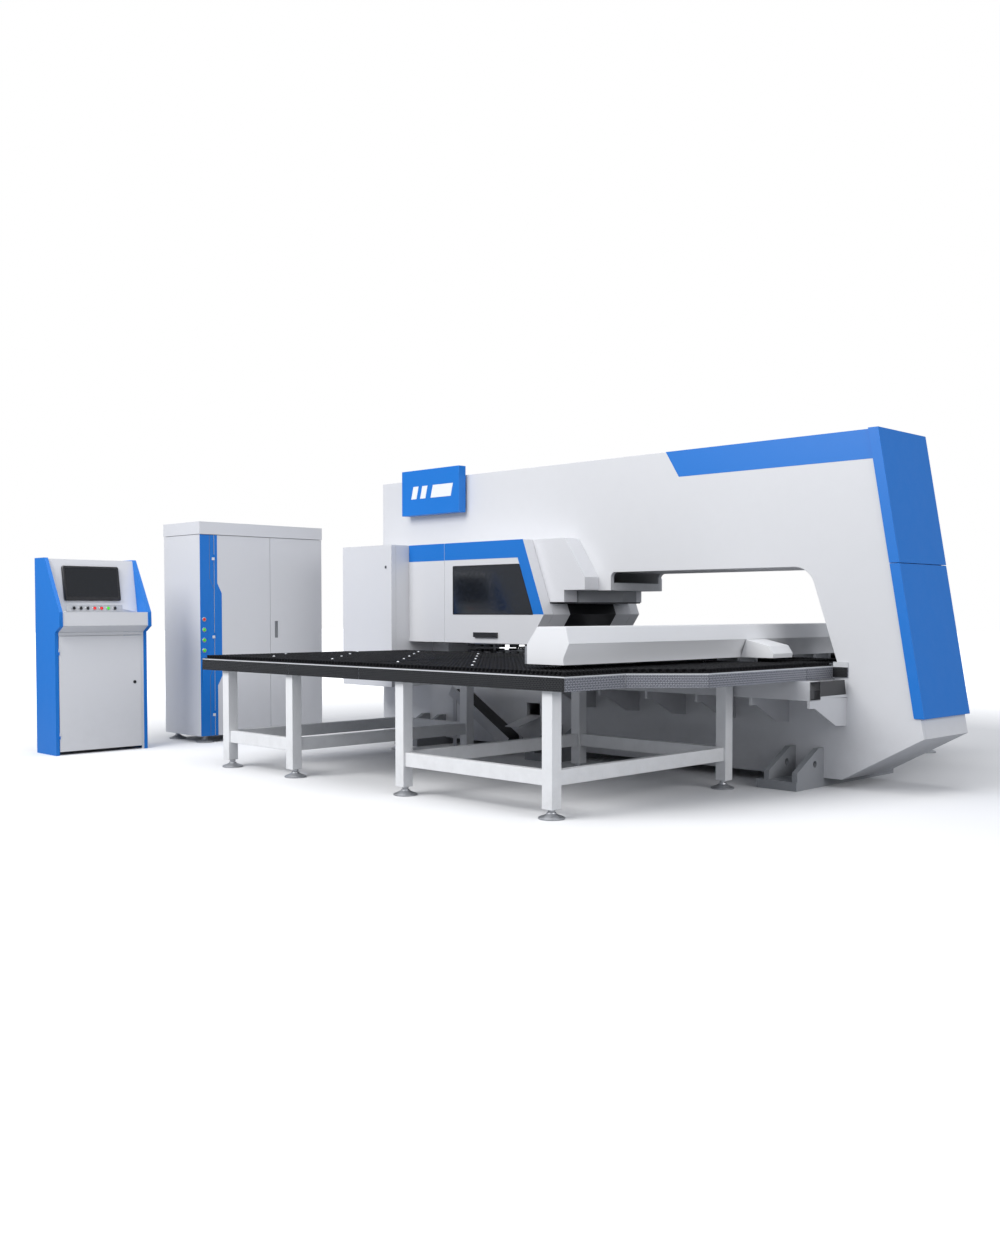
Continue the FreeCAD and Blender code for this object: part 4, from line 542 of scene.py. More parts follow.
def moulded_group() -> bpy.types.NodeTree:
    """Moulded plastic or rubber: an even fine grain with faint finger marks.

    Returns:
        The node group.
    """
    tree, n, inlet, outlet = new_group("moulded", {"Roughness": 0.3, "Grain": 1400.0, "Marks": 0.12},
                                       {"Plastic": (0.05, 0.05, 0.05)})
    grain = n.noise(n.place(), inlet.outputs["Grain"], 2.0)
    marks = n.noise(n.place(), 38.0, 5.0, 0.7)
    shade = n.add("ShaderNodeVectorMath", operation="SCALE")
    n.put(inlet.outputs["Plastic"], shade.inputs[0])
    n.put(n.between(marks, 0.3, 0.75, 0.94, 1.07), shade.inputs["Scale"])
    n.put(shade.outputs[0], outlet.inputs["Color"])
    spread = n.math("MULTIPLY", n.between(marks, 0.35, 0.7, -0.5, 1.0), inlet.outputs["Marks"])
    n.put(n.math("ADD", inlet.outputs["Roughness"], spread, clamp=True), outlet.inputs["Roughness"])
    n.put(grain, outlet.inputs["Height"])
    return tree


@dataclass(frozen=True)
class Finish:
    """One finish: the surface it is made of, the values given to that surface's group, and its gloss."""

    name: str
    surface: Surface
    colours: tuple[tuple[str, Colour], ...]
    numbers: tuple[tuple[str, float], ...] = ()
    metallic: float = 0.0
    coat: float = 0.0
    bump: float = 0.0005
    bump_strength: float = 0.25
    specular: float = 0.5


def coat_of(name: str, colour: Colour, roughness: float = 0.38, coat: float = 0.15,
            dust: float = 0.12) -> Finish:
    """A powder coat in one colour."""
    return Finish(name, Surface.POWDER_COAT, (("Paint", colour),), (("Roughness", roughness), ("Dust", dust)),
                  coat=coat, bump=0.0002, bump_strength=0.12)


def steel_of(name: str, colour: Colour, roughness: float = 0.32, contrast: float = 0.25) -> Finish:
    """A ground steel in one tone."""
    numbers = (("Roughness", roughness), ("Contrast", contrast))
    return Finish(name, Surface.GROUND_STEEL, (("Metal", colour),), numbers, metallic=1.0, bump=0.0002,
                  bump_strength=0.2)


def plastic_of(name: str, colour: Colour, roughness: float = 0.3, coat: float = 0.0) -> Finish:
    """A moulded plastic in one colour."""
    return Finish(name, Surface.MOULDED, (("Plastic", colour),), (("Roughness", roughness),), coat=coat,
                  bump=0.0001, bump_strength=0.15)


BODY = coat_of("light_grey_coat", (0.70, 0.705, 0.73))
SIDE = coat_of("frame_grey_coat", (0.69, 0.695, 0.715), 0.42, 0.1, 0.25)
WHITE = coat_of("cover_white_coat", (0.86, 0.865, 0.88), 0.34, 0.2, 0.05)
LEG = coat_of("leg_white_coat", (0.82, 0.825, 0.835), 0.42, 0.1, 0.3)
BLUE = coat_of("blue_coat", (0.001, 0.172, 0.62), 0.4, 0.0, 0.02)
GREY = coat_of("mid_grey_coat", (0.29, 0.3, 0.32), 0.4, 0.1, 0.2)
DARK = coat_of("dark_grey_coat", (0.05, 0.052, 0.058), 0.4, 0.1, 0.1)
GUIDE = coat_of("guide_grey_coat", (0.55, 0.555, 0.575), 0.4, 0.1, 0.25)
BLACK = coat_of("black_coat", (0.012, 0.012, 0.014), 0.32, 0.3, 0.05)
STEEL = steel_of("ground_steel_bright", (0.55, 0.56, 0.58))
SHEET = steel_of("zinc_sheet", (0.62, 0.63, 0.65), 0.4, 0.35)
TOOL = steel_of("blackened_tool_steel", (0.08, 0.082, 0.09), 0.35, 0.2)
POLISH = steel_of("polished_ball_steel", (0.8, 0.81, 0.83), 0.14, 0.1)
TREAD = Finish("tread_plate_steel", Surface.TREAD_PLATE, (), (), metallic=0.4, bump=0.0012, bump_strength=0.9)
# Painted shade: a darker copy of the tread plate for the skirt faces that look along -X and +X, which sit in
# shade.
TREAD_SHADED = Finish("tread_plate_painted_shade", Surface.TREAD_PLATE,
               (("Hollow", (0.009, 0.0095, 0.011)), ("Crown", (0.065, 0.067, 0.072))),
               (("Pitch", 0.011),), metallic=0.3, bump=0.0012, bump_strength=0.9)
NYLON = Finish("brush_nylon", Surface.BRISTLE, (), (), bump=0.0012, bump_strength=0.6, specular=0.12)
RUBBER = plastic_of("belt_rubber_black", (0.02, 0.02, 0.021), 0.6)
KNOB = plastic_of("knob_black", (0.015, 0.015, 0.017), 0.35)
RED = plastic_of("push_button_red", (0.86, 0.014, 0.012), 0.25, 0.4)
GREEN = plastic_of("push_button_green", (0.07, 0.78, 0.03), 0.25, 0.4)
SCREEN = plastic_of("screen_black_glass", (0.006, 0.007, 0.009), 0.08, 0.6)
PANE = plastic_of("dark_tinted_pane", (0.008, 0.01, 0.014), 0.07, 0.7)
BEZEL = plastic_of("bezel_black", (0.012, 0.012, 0.014), 0.34)
MARK = coat_of("plain_white_film", (0.85, 0.86, 0.88), 0.35, 0.1, 0.0)
# Painted shade: the dark grey drawn along the cabinet door's pressed creases.
CREASE_SHADE = plastic_of("crease_shade_grey", (0.16, 0.165, 0.18), 0.5)


class Workshop:
    """Builds each finish's material once, and turns shapes and CAD nodes into dressed pieces."""

    def __init__(self) -> None:
        """Builds the shared node groups."""
        self.groups: dict[Surface, bpy.types.NodeTree] = {
            Surface.POWDER_COAT: powder_coat_group(),
            Surface.GROUND_STEEL: ground_steel_group(),
            Surface.TREAD_PLATE: tread_plate_group(),
            Surface.BRISTLE: bristle_group(),
            Surface.MOULDED: moulded_group(),
        }
        self.made: dict[str, bpy.types.Material] = {}

    def material(self, finish: Finish) -> bpy.types.Material:
        """Gives a finish's material, and builds it the first time.

        Args:
            finish: the finish.

        Returns:
            The material.
        """
        if finish.name in self.made:
            return self.made[finish.name]
        material = bpy.data.materials.new(finish.name)
        material.use_nodes = True
        n = Nodes(material.node_tree)
        shader = material.node_tree.nodes["Principled BSDF"]
        group = n.add("ShaderNodeGroup", node_tree=self.groups[finish.surface])
        for label, colour in finish.colours:
            group.inputs[label].default_value = (*colour, 1.0)
        for label, value in finish.numbers:
            group.inputs[label].default_value = value
        n.put(group.outputs["Color"], shader.inputs["Base Color"])
        n.put(group.outputs["Roughness"], shader.inputs["Roughness"])
        shader.inputs["Metallic"].default_value = finish.metallic
        shader.inputs["Coat Weight"].default_value = finish.coat
        shader.inputs["Coat Roughness"].default_value = 0.12
        shader.inputs["Specular IOR Level"].default_value = finish.specular
        bump = n.add("ShaderNodeBump")
        bump.inputs["Strength"].default_value = finish.bump_strength
        bump.inputs["Distance"].default_value = finish.bump
        n.put(group.outputs["Height"], bump.inputs["Height"])
        n.put(bump.outputs["Normal"], shader.inputs["Normal"])
        self.made[finish.name] = material
        return material

    def piece(self, name: str, shape: Shape, body: str, finish: Finish, smooth: float = 35.0,
              replaces: Sequence[str] = ()) -> bpy.types.Object:
        """Makes a new piece from a shape.

        Args:
            name: the piece's name.
            shape: its points and faces, in the machine's frame.
            body: the CAD body it moves with.
            finish: its finish.
            smooth: faces that meet at less than this angle, in degrees, shade as one surface.
            replaces: CAD nodes that it stands for.

        Returns:
            The object.
        """
        mesh = bpy.data.meshes.new(name)
        mesh.from_pydata(shape.points.tolist(), [], shape.faces)
        bm = bmesh.new()
        bm.from_mesh(mesh)
        bmesh.ops.recalc_face_normals(bm, faces=bm.faces)
        bm.to_mesh(mesh)
        bm.free()
        mesh.polygons.foreach_set("use_smooth", np.ones(len(mesh.polygons), bool))
        mesh.set_sharp_from_angle(angle=math.radians(smooth))
        mesh.materials.append(self.material(finish))
        obj = bpy.data.objects.new(name, mesh)
        bpy.context.scene.collection.objects.link(obj)
        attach(obj, body)
        if replaces:
            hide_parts(*replaces)
        LOG.info("piece %s: %d faces", name, len(mesh.polygons))
        return obj

    def dress(self, node: str, finish: Finish) -> None:
        """Gives a CAD node that stays in sight its finish."""
        mesh = frame["nodes"][node].data
        mesh.materials.clear()
        mesh.materials.append(self.material(finish))
        LOG.info("dressed %s in %s", node, finish.name)


@dataclass(frozen=True)
class Zone:
    """A box of space in which a copied node's faces take another finish."""

    finish: Finish
    low: Point3 = (-9.0, -9.0, -9.0)
    high: Point3 = (9.0, 9.0, 9.0)
    facing: Optional[Point3] = None


@dataclass(frozen=True)
class Eased:
    """A CAD node shown as a copy whose sharp edges are eased, with zones in other finishes."""

    node: str
    finish: Finish
    edge: float = 0.0015
    zones: tuple[Zone, ...] = ()

    def build(self, shop: Workshop) -> bpy.types.Object:
        """Merges the copy's loose triangles into flat faces, eases its edges and paints its zones.

        Args:
            shop: the maker of materials.

        Returns:
            The new piece, which replaces the node.
        """
        source = frame["nodes"][self.node]
        bm = bmesh.new()
        bm.from_mesh(source.data)
        bmesh.ops.remove_doubles(bm, verts=bm.verts, dist=1e-5)
        bmesh.ops.dissolve_limit(bm, angle_limit=math.radians(0.8), verts=bm.verts, edges=bm.edges)
        mesh = bpy.data.meshes.new("eased_" + self.node)
        bm.to_mesh(mesh)
        bm.free()
        mesh.materials.clear()
        mesh.materials.append(shop.material(self.finish))
        count = len(mesh.polygons)
        centre = np.zeros(count * 3)
        normal = np.zeros(count * 3)
        mesh.polygons.foreach_get("center", centre)
        mesh.polygons.foreach_get("normal", normal)
        centre = centre.reshape(-1, 3)
        normal = normal.reshape(-1, 3)
        index = np.zeros(count, np.int32)
        for number, zone in enumerate(self.zones, start=1):
            mesh.materials.append(shop.material(zone.finish))
            held = np.all((centre >= zone.low) & (centre <= zone.high), axis=1)
            if zone.facing is not None:
                held &= normal @ np.array(zone.facing) > 0.9
            index[held] = number
        mesh.polygons.foreach_set("material_index", index)
        mesh.polygons.foreach_set("use_smooth", np.ones(count, bool))
        mesh.set_sharp_from_angle(angle=math.radians(28))
        obj = bpy.data.objects.new("eased_" + self.node, mesh)
        bpy.context.scene.collection.objects.link(obj)
        if self.edge > 0:
            bevel = obj.modifiers.new("eased_edges", "BEVEL")
            bevel.width = self.edge
            bevel.segments = 2
            bevel.limit_method = "ANGLE"
            bevel.angle_limit = math.radians(35)
            bevel.harden_normals = True
        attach(obj, source["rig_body"])
        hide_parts(self.node)
        LOG.info("eased %s: %d faces", self.node, count)
        return obj


def film(outline: Sequence[Point2], face: float, out: float, axis: Axis, thick: float = 0.0006) -> Shape:
    """A thin film of paint that lies on a flat face.

    Args:
        outline: its corners on the face.
        face: where the face is along the axis.
        out: +1 or -1, the way the face looks along the axis.
        axis: the face's normal.
        thick: how far the film stands out.

    Returns:
        The film as a thin slab.
    """
    low, high = sorted((face + out * FILM, face + out * thick))
    return carried(outline, low, high, axis)


# ---------------------------------------------------------------- sub-assemblies
@dataclass
class OFrame:
    """The welded frame: side plates, webs, floor plates, sloping front covers, painted flash."""

    flash_drop: float = 0.193
    flash_start: float = 3.287
    flash_slant: float = 0.121
    cover_cap: float = 0.078
    seam: float = 0.003

    def build(self, shop: Workshop) -> None:
        """Dresses the frame's nodes and paints the blue flash on both side plates."""
        for node in ("frame_plate_near", "frame_plate_far"):
            Eased(node, SIDE, 0.003).build(shop)
        Eased("frame_web_plates", SIDE, 0.0).build(shop)
        Eased("base_plates", GREY, 0.003).build(shop)
        Eased("end_cover_upper", BLUE, 0.003).build(shop)
        Eased("end_cover_lower", BLUE, 0.003).build(shop)
        self.flash(shop, "near", -1.0)
        self.flash(shop, "far", 1.0)

    def flash(self, shop: Workshop, side: str, out: float) -> None:
        """Paints the slanted blue flash along the top of one side plate.

        Args:
            shop: the maker of pieces.
            side: near or far.
            out: the way the plate looks along X.
        """
        low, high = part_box("frame_plate_" + side)
        cover_low, cover_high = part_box("end_cover_upper")
        face = low.x if out < 0 else high.x
        top = high.z
        bottom = top - self.flash_drop
        lean = (cover_high.y - cover_low.y - self.cover_cap) / (cover_high.z - cover_low.z)
        front = cover_high.y - self.seam
        tail = high.y - self.flash_start
        outline = [(tail, top), (tail - self.flash_slant, bottom), (front - lean * self.flash_drop, bottom),
                   (front, top)]
        shop.piece("flash_" + side, film(outline, face, out, Axis.X), "machine", BLUE)


@dataclass
class Head:
    """The hammer housing, the head's side covers, the turret and its guard, the name board, the side box."""

    band_drop: float = 0.145
    band_width: float = 0.119
    band_slope: float = 0.230 / 0.602
    band_crook: float = 1.153
    band_turn: float = 0.006
    seam_gap: float = 0.002
    nose_half: float = 0.288
    pane_lap: float = 0.015
    pane_slant: float = 0.156
    pane_corner: float = 0.012
    seal_width: float = 0.0075
    mark_half: float = 0.055
    mark_slant: float = 0.03
    mark_pitch: float = 0.12
    mark_start: float = 0.16
    mark_bars: tuple[float, ...] = (0.07, 0.07, 0.26)

    def build(self, shop: Workshop) -> None:
        """Dresses the head's nodes and adds bands, window, the lock's key slot disc and the board's plain
        mark.
        """
        Eased("hammer_housing", GREY, 0.003, (Zone(DARK, high=(9, 9, 1.252), low=(-9, -9, 1.2)),)).build(shop)
        Eased("head_covers", BODY, 0.0012).build(shop)
        Eased("sign_board", BLUE, 0.004, (Zone(GREY, low=(-0.3365, -9, -9)),)).build(shop)
        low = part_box("guard_door")[0]
        handle = Zone(BLACK, high=(low.x + 0.0205, 9, 1.01), low=(-9, 0.84, 0.955))
        Eased("guard_door", BODY, 0.0012, (handle,)).build(shop)
        half = self.nose_half + 0.0005
        nose = Zone(BLACK, low=(-half, 0.3, 0.9), high=(half, 0.52, 1.25))
        Eased("guard_panels", BODY, 0.0012, (nose,)).build(shop)
        Eased("side_box", BODY, 0.0012).build(shop)
        lock = Zone(GREY, low=(-9, 2.0, 1.5), high=(-0.7985, 9, 9))
        Eased("side_box_door", BODY, 0.0012, (lock,)).build(shop)
        for node in ("upper_turret", "lower_turret", "turret_bearings"):
            shop.dress(node, STEEL)
        for node in ("punches", "dies"):
            shop.dress(node, TOOL)
        Eased("ram", STEEL, 0.003).build(shop)
        Eased("press_drive", DARK, 0.006).build(shop)
        self.bands(shop)
        self.window(shop)
        self.board_mark(shop)
        self.lock(shop)

    def face(self) -> float:
        """The x of the guard's flat outer face, behind its handle."""
        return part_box("guard_panels")[0].x

    def bands(self, shop: Workshop) -> None:
        """Paints the blue band along the guard's top and down its slanted front edge."""
        low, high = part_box("guard_door")
        face = self.face()
        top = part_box("head_covers")[1].z - 0.0005
        bottom = top - self.band_drop
        front = low.y + 0.001
        crook = self.band_crook
        head = front + (top - crook) * self.band_slope
        inner = front + self.band_width
        turn = inner + (bottom - crook) * self.band_slope - self.band_turn
        door = [(high.y, top), (head, top), (front, crook), (inner, crook), (turn, bottom), (high.y, bottom)]
        shop.piece("guard_band_door", film(door, face, -1.0, Axis.X), "guard", BLUE)
        start = high.y + 2 * self.seam_gap
        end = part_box("side_box")[0].y - 0.003
        rear = [(start, bottom), (end, bottom), (end, top), (start, top)]
        shop.piece("guard_band_rear", film(rear, face, -1.0, Axis.X), "machine", BLUE)

    def window(self, shop: Workshop) -> None:
        """Fits the tinted pane flush in the door, with a rubber seal round it."""
        low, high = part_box("guard_window")
        face = self.face()
        edge = self.pane_lap
        y0, y1, z0, z1 = low.y + edge, high.y - edge, low.z + edge, high.z - edge
        corners = [(y1, z0), (y1, z1), (y0 + self.pane_slant, z1), (y0 + 0.001, z0)]
        outline = rounded(corners, self.pane_corner)
        pane = carried(shrunk(outline, 0.007), face - 0.0006, low.x + 0.004, Axis.X, 0.001)
        shop.piece("guard_pane", pane, "guard", PANE, replaces=("guard_window",))
        ring = self.frame_ring(outline, shrunk(outline, self.seal_width), face - 0.0016, face + 0.006)
        shop.piece("guard_window_seal", ring, "guard", BEZEL)

    @staticmethod
    def frame_ring(outer: np.ndarray, inner: np.ndarray, low: float, high: float) -> Shape:
        """A flat ring between two outlines of the same number of points, carried along X.

        Args:
            outer: the outer outline in Y and Z.
            inner: the inner outline.
            low: the x where the ring starts.
            high: the x where it ends.

        Returns:
            The closed ring.
        """
        count = len(outer)
        rings = [(outer, low), (inner, low), (inner, high), (outer, high)]
        points = np.vstack([np.column_stack([np.full(count, level), loop]) for loop, level in rings])
        around = walls(len(rings) + 1, count, capped=False)
        return Shape(points, [[index % len(points) for index in face] for face in around])

    def board_mark(self, shop: Workshop) -> None:
        """Puts a plain mark of three slanted bars on the board."""
        low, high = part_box("sign_board")
        middle = (low.z + high.z) / 2
        up, down = middle + self.mark_half, middle - self.mark_half
        bars = []
        for index, wide in enumerate(self.mark_bars):
            start = high.y - self.mark_start - index * self.mark_pitch - (0.0 if index < 2 else 0.02)
            outline = [(start, up), (start - wide, up),
                       (start - wide + self.mark_slant, down), (start + self.mark_slant, down)]
            bars.append(film(outline, low.x, -1.0, Axis.X, 0.001))
        shop.piece("board_mark", joined(bars), "machine", MARK)

    def lock(self, shop: Workshop) -> None:
        """Adds a key slot disc in the side box's lock."""
        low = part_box("side_box_door")[0]
        centre = (low.x + 0.0038, low.y + 0.075, 1.563)
        slot = turned([(0.0095, 0.0), (0.0095, -0.0036), (0.008, -0.0042)], centre, (1, 0, 0), 24)
        shop.piece("side_box_keyhole", slot, "side_door", KNOB)


class Gantry:
    """The Y guides and the moving beam with its cover, rails, screws, carriage and clamps."""

    def build(self, shop: Workshop) -> None:
        """Dresses the guides and the gantry's nodes."""
        # Painted shade: the guides' near end, past y -2.127 and above z 0.63, is painted black where the
        # rails and screw sit in shade.
        painted_shade_end = Zone(BLACK, low=(-9, -9, 0.6295), high=(9, -2.127, 9))
        Eased("guide_beams", GUIDE, 0.002, (painted_shade_end,)).build(shop)
        Eased("gantry_cover", WHITE, 0.0014).build(shop)
        Eased("gantry_beam", GUIDE, 0.002).build(shop)
        Eased("gantry_saddles", STEEL, 0.002).build(shop)
        Eased("x_carriage", STEEL, 0.002).build(shop)
        Eased("clamp_bodies", STEEL, 0.002).build(shop)
        Eased("clamp_jaws", TOOL, 0.002).build(shop)
        for node in ("x_rails", "y_rails", "x_screw", "y_screw"):
            shop.dress(node, STEEL)


@dataclass
class BrushTables:
    """The brush tables: decks, tread-plate skirts, tufts of bristle, ball transfers, legs and feet."""

    pitch: float = 0.034
    tuft_low_r: float = 0.0085
    tuft_high_r: float = 0.0135
    base_high: float = 0.007
    ball_r: float = 0.014
    cup_r: float = 0.024
    throat_half: float = 0.32
    foot_cell: float = 0.2
    foot_r: float = 0.077
    foot_sides: int = 40

    def build(self, shop: Workshop) -> None:
        """Dresses the tables and makes their brushes, balls and feet."""
        Eased("table_frames", LEG, 0.003).build(shop)
        Eased("table_decks", SHEET, 0.001).build(shop)
        # Painted shade: skirt faces that look along -X and +X take the darker tread copy.
        zones = (Zone(SHEET, facing=(0, 0, 1)), Zone(TREAD_SHADED, facing=(-1, 0, 0)), Zone(TREAD_SHADED, facing=(1, 0, 0)))
        Eased("table_skirts", TREAD, 0.0012, zones).build(shop)
        self.brushes(shop)
        self.balls(shop)
        self.feet(shop)

    def brushes(self, shop: Workshop) -> None:
        """Makes the bristle field: a thin base where the mats lie, and a tuft at each point of a square grid.

        A tuft is a six-sided cone frustum that widens upwards. It stands only where its whole foot is
        over a mat, so the joints, the edges and the ball cups stay open.
        """
        source = frame["nodes"]["brush_mats"].data
        low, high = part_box("brush_mats")
        points = node_points("brush_mats")
        source.calc_loop_triangles()
        corners = np.zeros(len(source.loop_triangles) * 3, np.int32)
        source.loop_triangles.foreach_get("vertices", corners)
        corners = corners.reshape(-1, 3)
        flat = points.copy()
        flat[:, 2] = np.where(points[:, 2] > high.z - 0.001, low.z + self.base_high, points[:, 2])
        shop.piece("brush_base", Shape(flat, corners.tolist()), "machine", NYLON,
                   replaces=("brush_mats",))
        top = points[corners]
        top = top[np.all(top[:, :, 2] > high.z - 0.001, axis=1)][:, :, :2]
        xs = np.arange(low.x + self.pitch / 2, high.x, self.pitch)
        ys = np.arange(low.y + self.pitch / 2, high.y, self.pitch)
        grid = np.stack(np.meshgrid(xs, ys), axis=-1).reshape(-1, 2)
        reach = self.tuft_high_r * 0.9
        held = np.ones(len(grid), bool)
        for dx, dy in ((reach, 0), (-reach, 0), (0, reach), (0, -reach)):
            held &= self.over(grid + np.array([dx, dy]), top)
        grid = grid[held]
        tall = high.z - low.z
        profile = [(self.tuft_low_r, self.base_high), (self.tuft_high_r * 0.94, tall * 0.75),
                   (self.tuft_high_r, tall * 0.97), (self.tuft_high_r * 0.55, tall - 0.0005)]
        tuft = turned(profile, (0, 0, low.z), (0, 0, 1), 6)
        x, half = grid[:, 0], self.throat_half
        for side, chosen in (("near", x < -half), ("far", x > half), ("throat", np.abs(x) <= half)):
            spots = np.column_stack([grid[chosen], np.zeros(chosen.sum())])
            shop.piece("bristles_" + side, tuft.moved(spots), "machine", NYLON, smooth=50)

    @staticmethod
    def over(spots: np.ndarray, triangles: np.ndarray) -> np.ndarray:
        """Tells which spots lie inside any of a set of triangles.

        A spot is inside when the three cross products of a side and the line to the spot share a sign.

        Args:
            spots: (n, 2) points.
            triangles: (m, 3, 2) corners.

        Returns:
            An array of n booleans.
        """
        inside = np.zeros(len(spots), bool)
        for part in np.array_split(np.arange(len(triangles)), max(1, len(triangles) // 40)):
            a = triangles[part]
            b = np.roll(a, -1, axis=1)
            side = b - a
            to_spot = spots[:, None, None, :] - a[None]
            cross = side[None, :, :, 0] * to_spot[..., 1] - side[None, :, :, 1] * to_spot[..., 0]
            inside |= np.any(np.all(cross >= 0, axis=2) | np.all(cross <= 0, axis=2), axis=1)
        return inside

    def balls(self, shop: Workshop) -> None:
        """Makes a pressed cup and a captive ball at each ball transfer unit."""
        points = node_points("ball_transfers")
        low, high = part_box("ball_transfers")
        tips = points[points[:, 2] > high.z - 0.0004][:, :2]
        centres = np.unique(np.round(tips / 0.01).astype(int), axis=0) * 0.01
        spots = np.column_stack([centres, np.zeros(len(centres))])
        rise = high.z - low.z - self.ball_r * 0.55
        cup_r = self.cup_r
        profile = [(cup_r, 0.0), (cup_r, 0.003), (cup_r * 0.93, 0.0045), (cup_r * 0.72, 0.0065),
                   (cup_r * 0.68, rise * 0.8), (cup_r * 0.6, rise), (self.ball_r * 0.86, rise)]
        cup = turned(profile, (0, 0, low.z), (0, 0, 1), 20)
        polar = np.linspace(0.03, math.pi - 0.03, 11)
        rings = [(self.ball_r * math.sin(a), -self.ball_r * math.cos(a)) for a in polar]
        ball = turned(rings, (0, 0, high.z - self.ball_r), (0, 0, 1), 18)
        shop.piece("ball_cups", cup.moved(spots), "machine", SHEET,
                   replaces=("ball_transfers",))
        shop.piece("captive_balls", ball.moved(spots), "machine", POLISH)

    def feet(self, shop: Workshop) -> None:
        """Makes the levelling feet: a pad, a domed boss, a stud and a lock nut under each leg."""
        points = node_points("levelling_feet")
        floor = points[points[:, 2] < 0.0005][:, :2]
        cells = np.unique(np.round(floor / self.foot_cell).astype(int), axis=0)
        centres = []
        for cell in cells:
            near = floor[np.all(np.abs(floor - cell * self.foot_cell) < self.foot_cell, axis=1)]
            centres.append((near.min(0) + near.max(0)) / 2)
        centre = np.unique(np.round(np.array(centres), 3), axis=0)
        spread = [centre[0]]
        for spot in centre[1:]:
            if min(np.linalg.norm(spot - kept) for kept in spread) > self.foot_cell / 2:
                spread.append(spot)
        radius = self.foot_r
        pad = [(radius * 0.97, 0.0), (radius, 0.003), (radius, 0.009), (radius * 0.955, 0.0115),
               (radius * 0.9, 0.0135), (radius * 0.62, 0.021), (radius * 0.42, 0.0285),
               (radius * 0.36, 0.032), (radius * 0.34, 0.038), (0.0125, 0.0385), (0.0120, 0.054)]
        shapes = [turned(pad, (spot[0], spot[1], 0), (0, 0, 1), self.foot_sides) for spot in spread]
        nut = [(0.0205, 0.0), (0.022, 0.001), (0.022, 0.009), (0.0205, 0.010)]
        shapes += [turned(nut, (spot[0], spot[1], 0.0432), (0, 0, 1), 6) for spot in spread]
        shop.piece("levelling_foot_pads", joined(shapes), "machine", SHEET,
                   replaces=("levelling_feet",))
        LOG.info("%d levelling feet", len(spread))


class SlugConveyor:
    """The slug conveyor beside the frame: folded walls, belt with cleats, rollers."""

    def build(self, shop: Workshop) -> None:
        """Dresses the conveyor's nodes."""
        Eased("conveyor_frame", GUIDE, 0.001, (Zone(DARK, low=(-9, -9, 0), high=(9, 0.77, 0.2)),)).build(shop)
        Eased("conveyor_belt", RUBBER, 0.0).build(shop)
        for node in ("drive_roller", "return_roller"):
            shop.dress(node, STEEL)


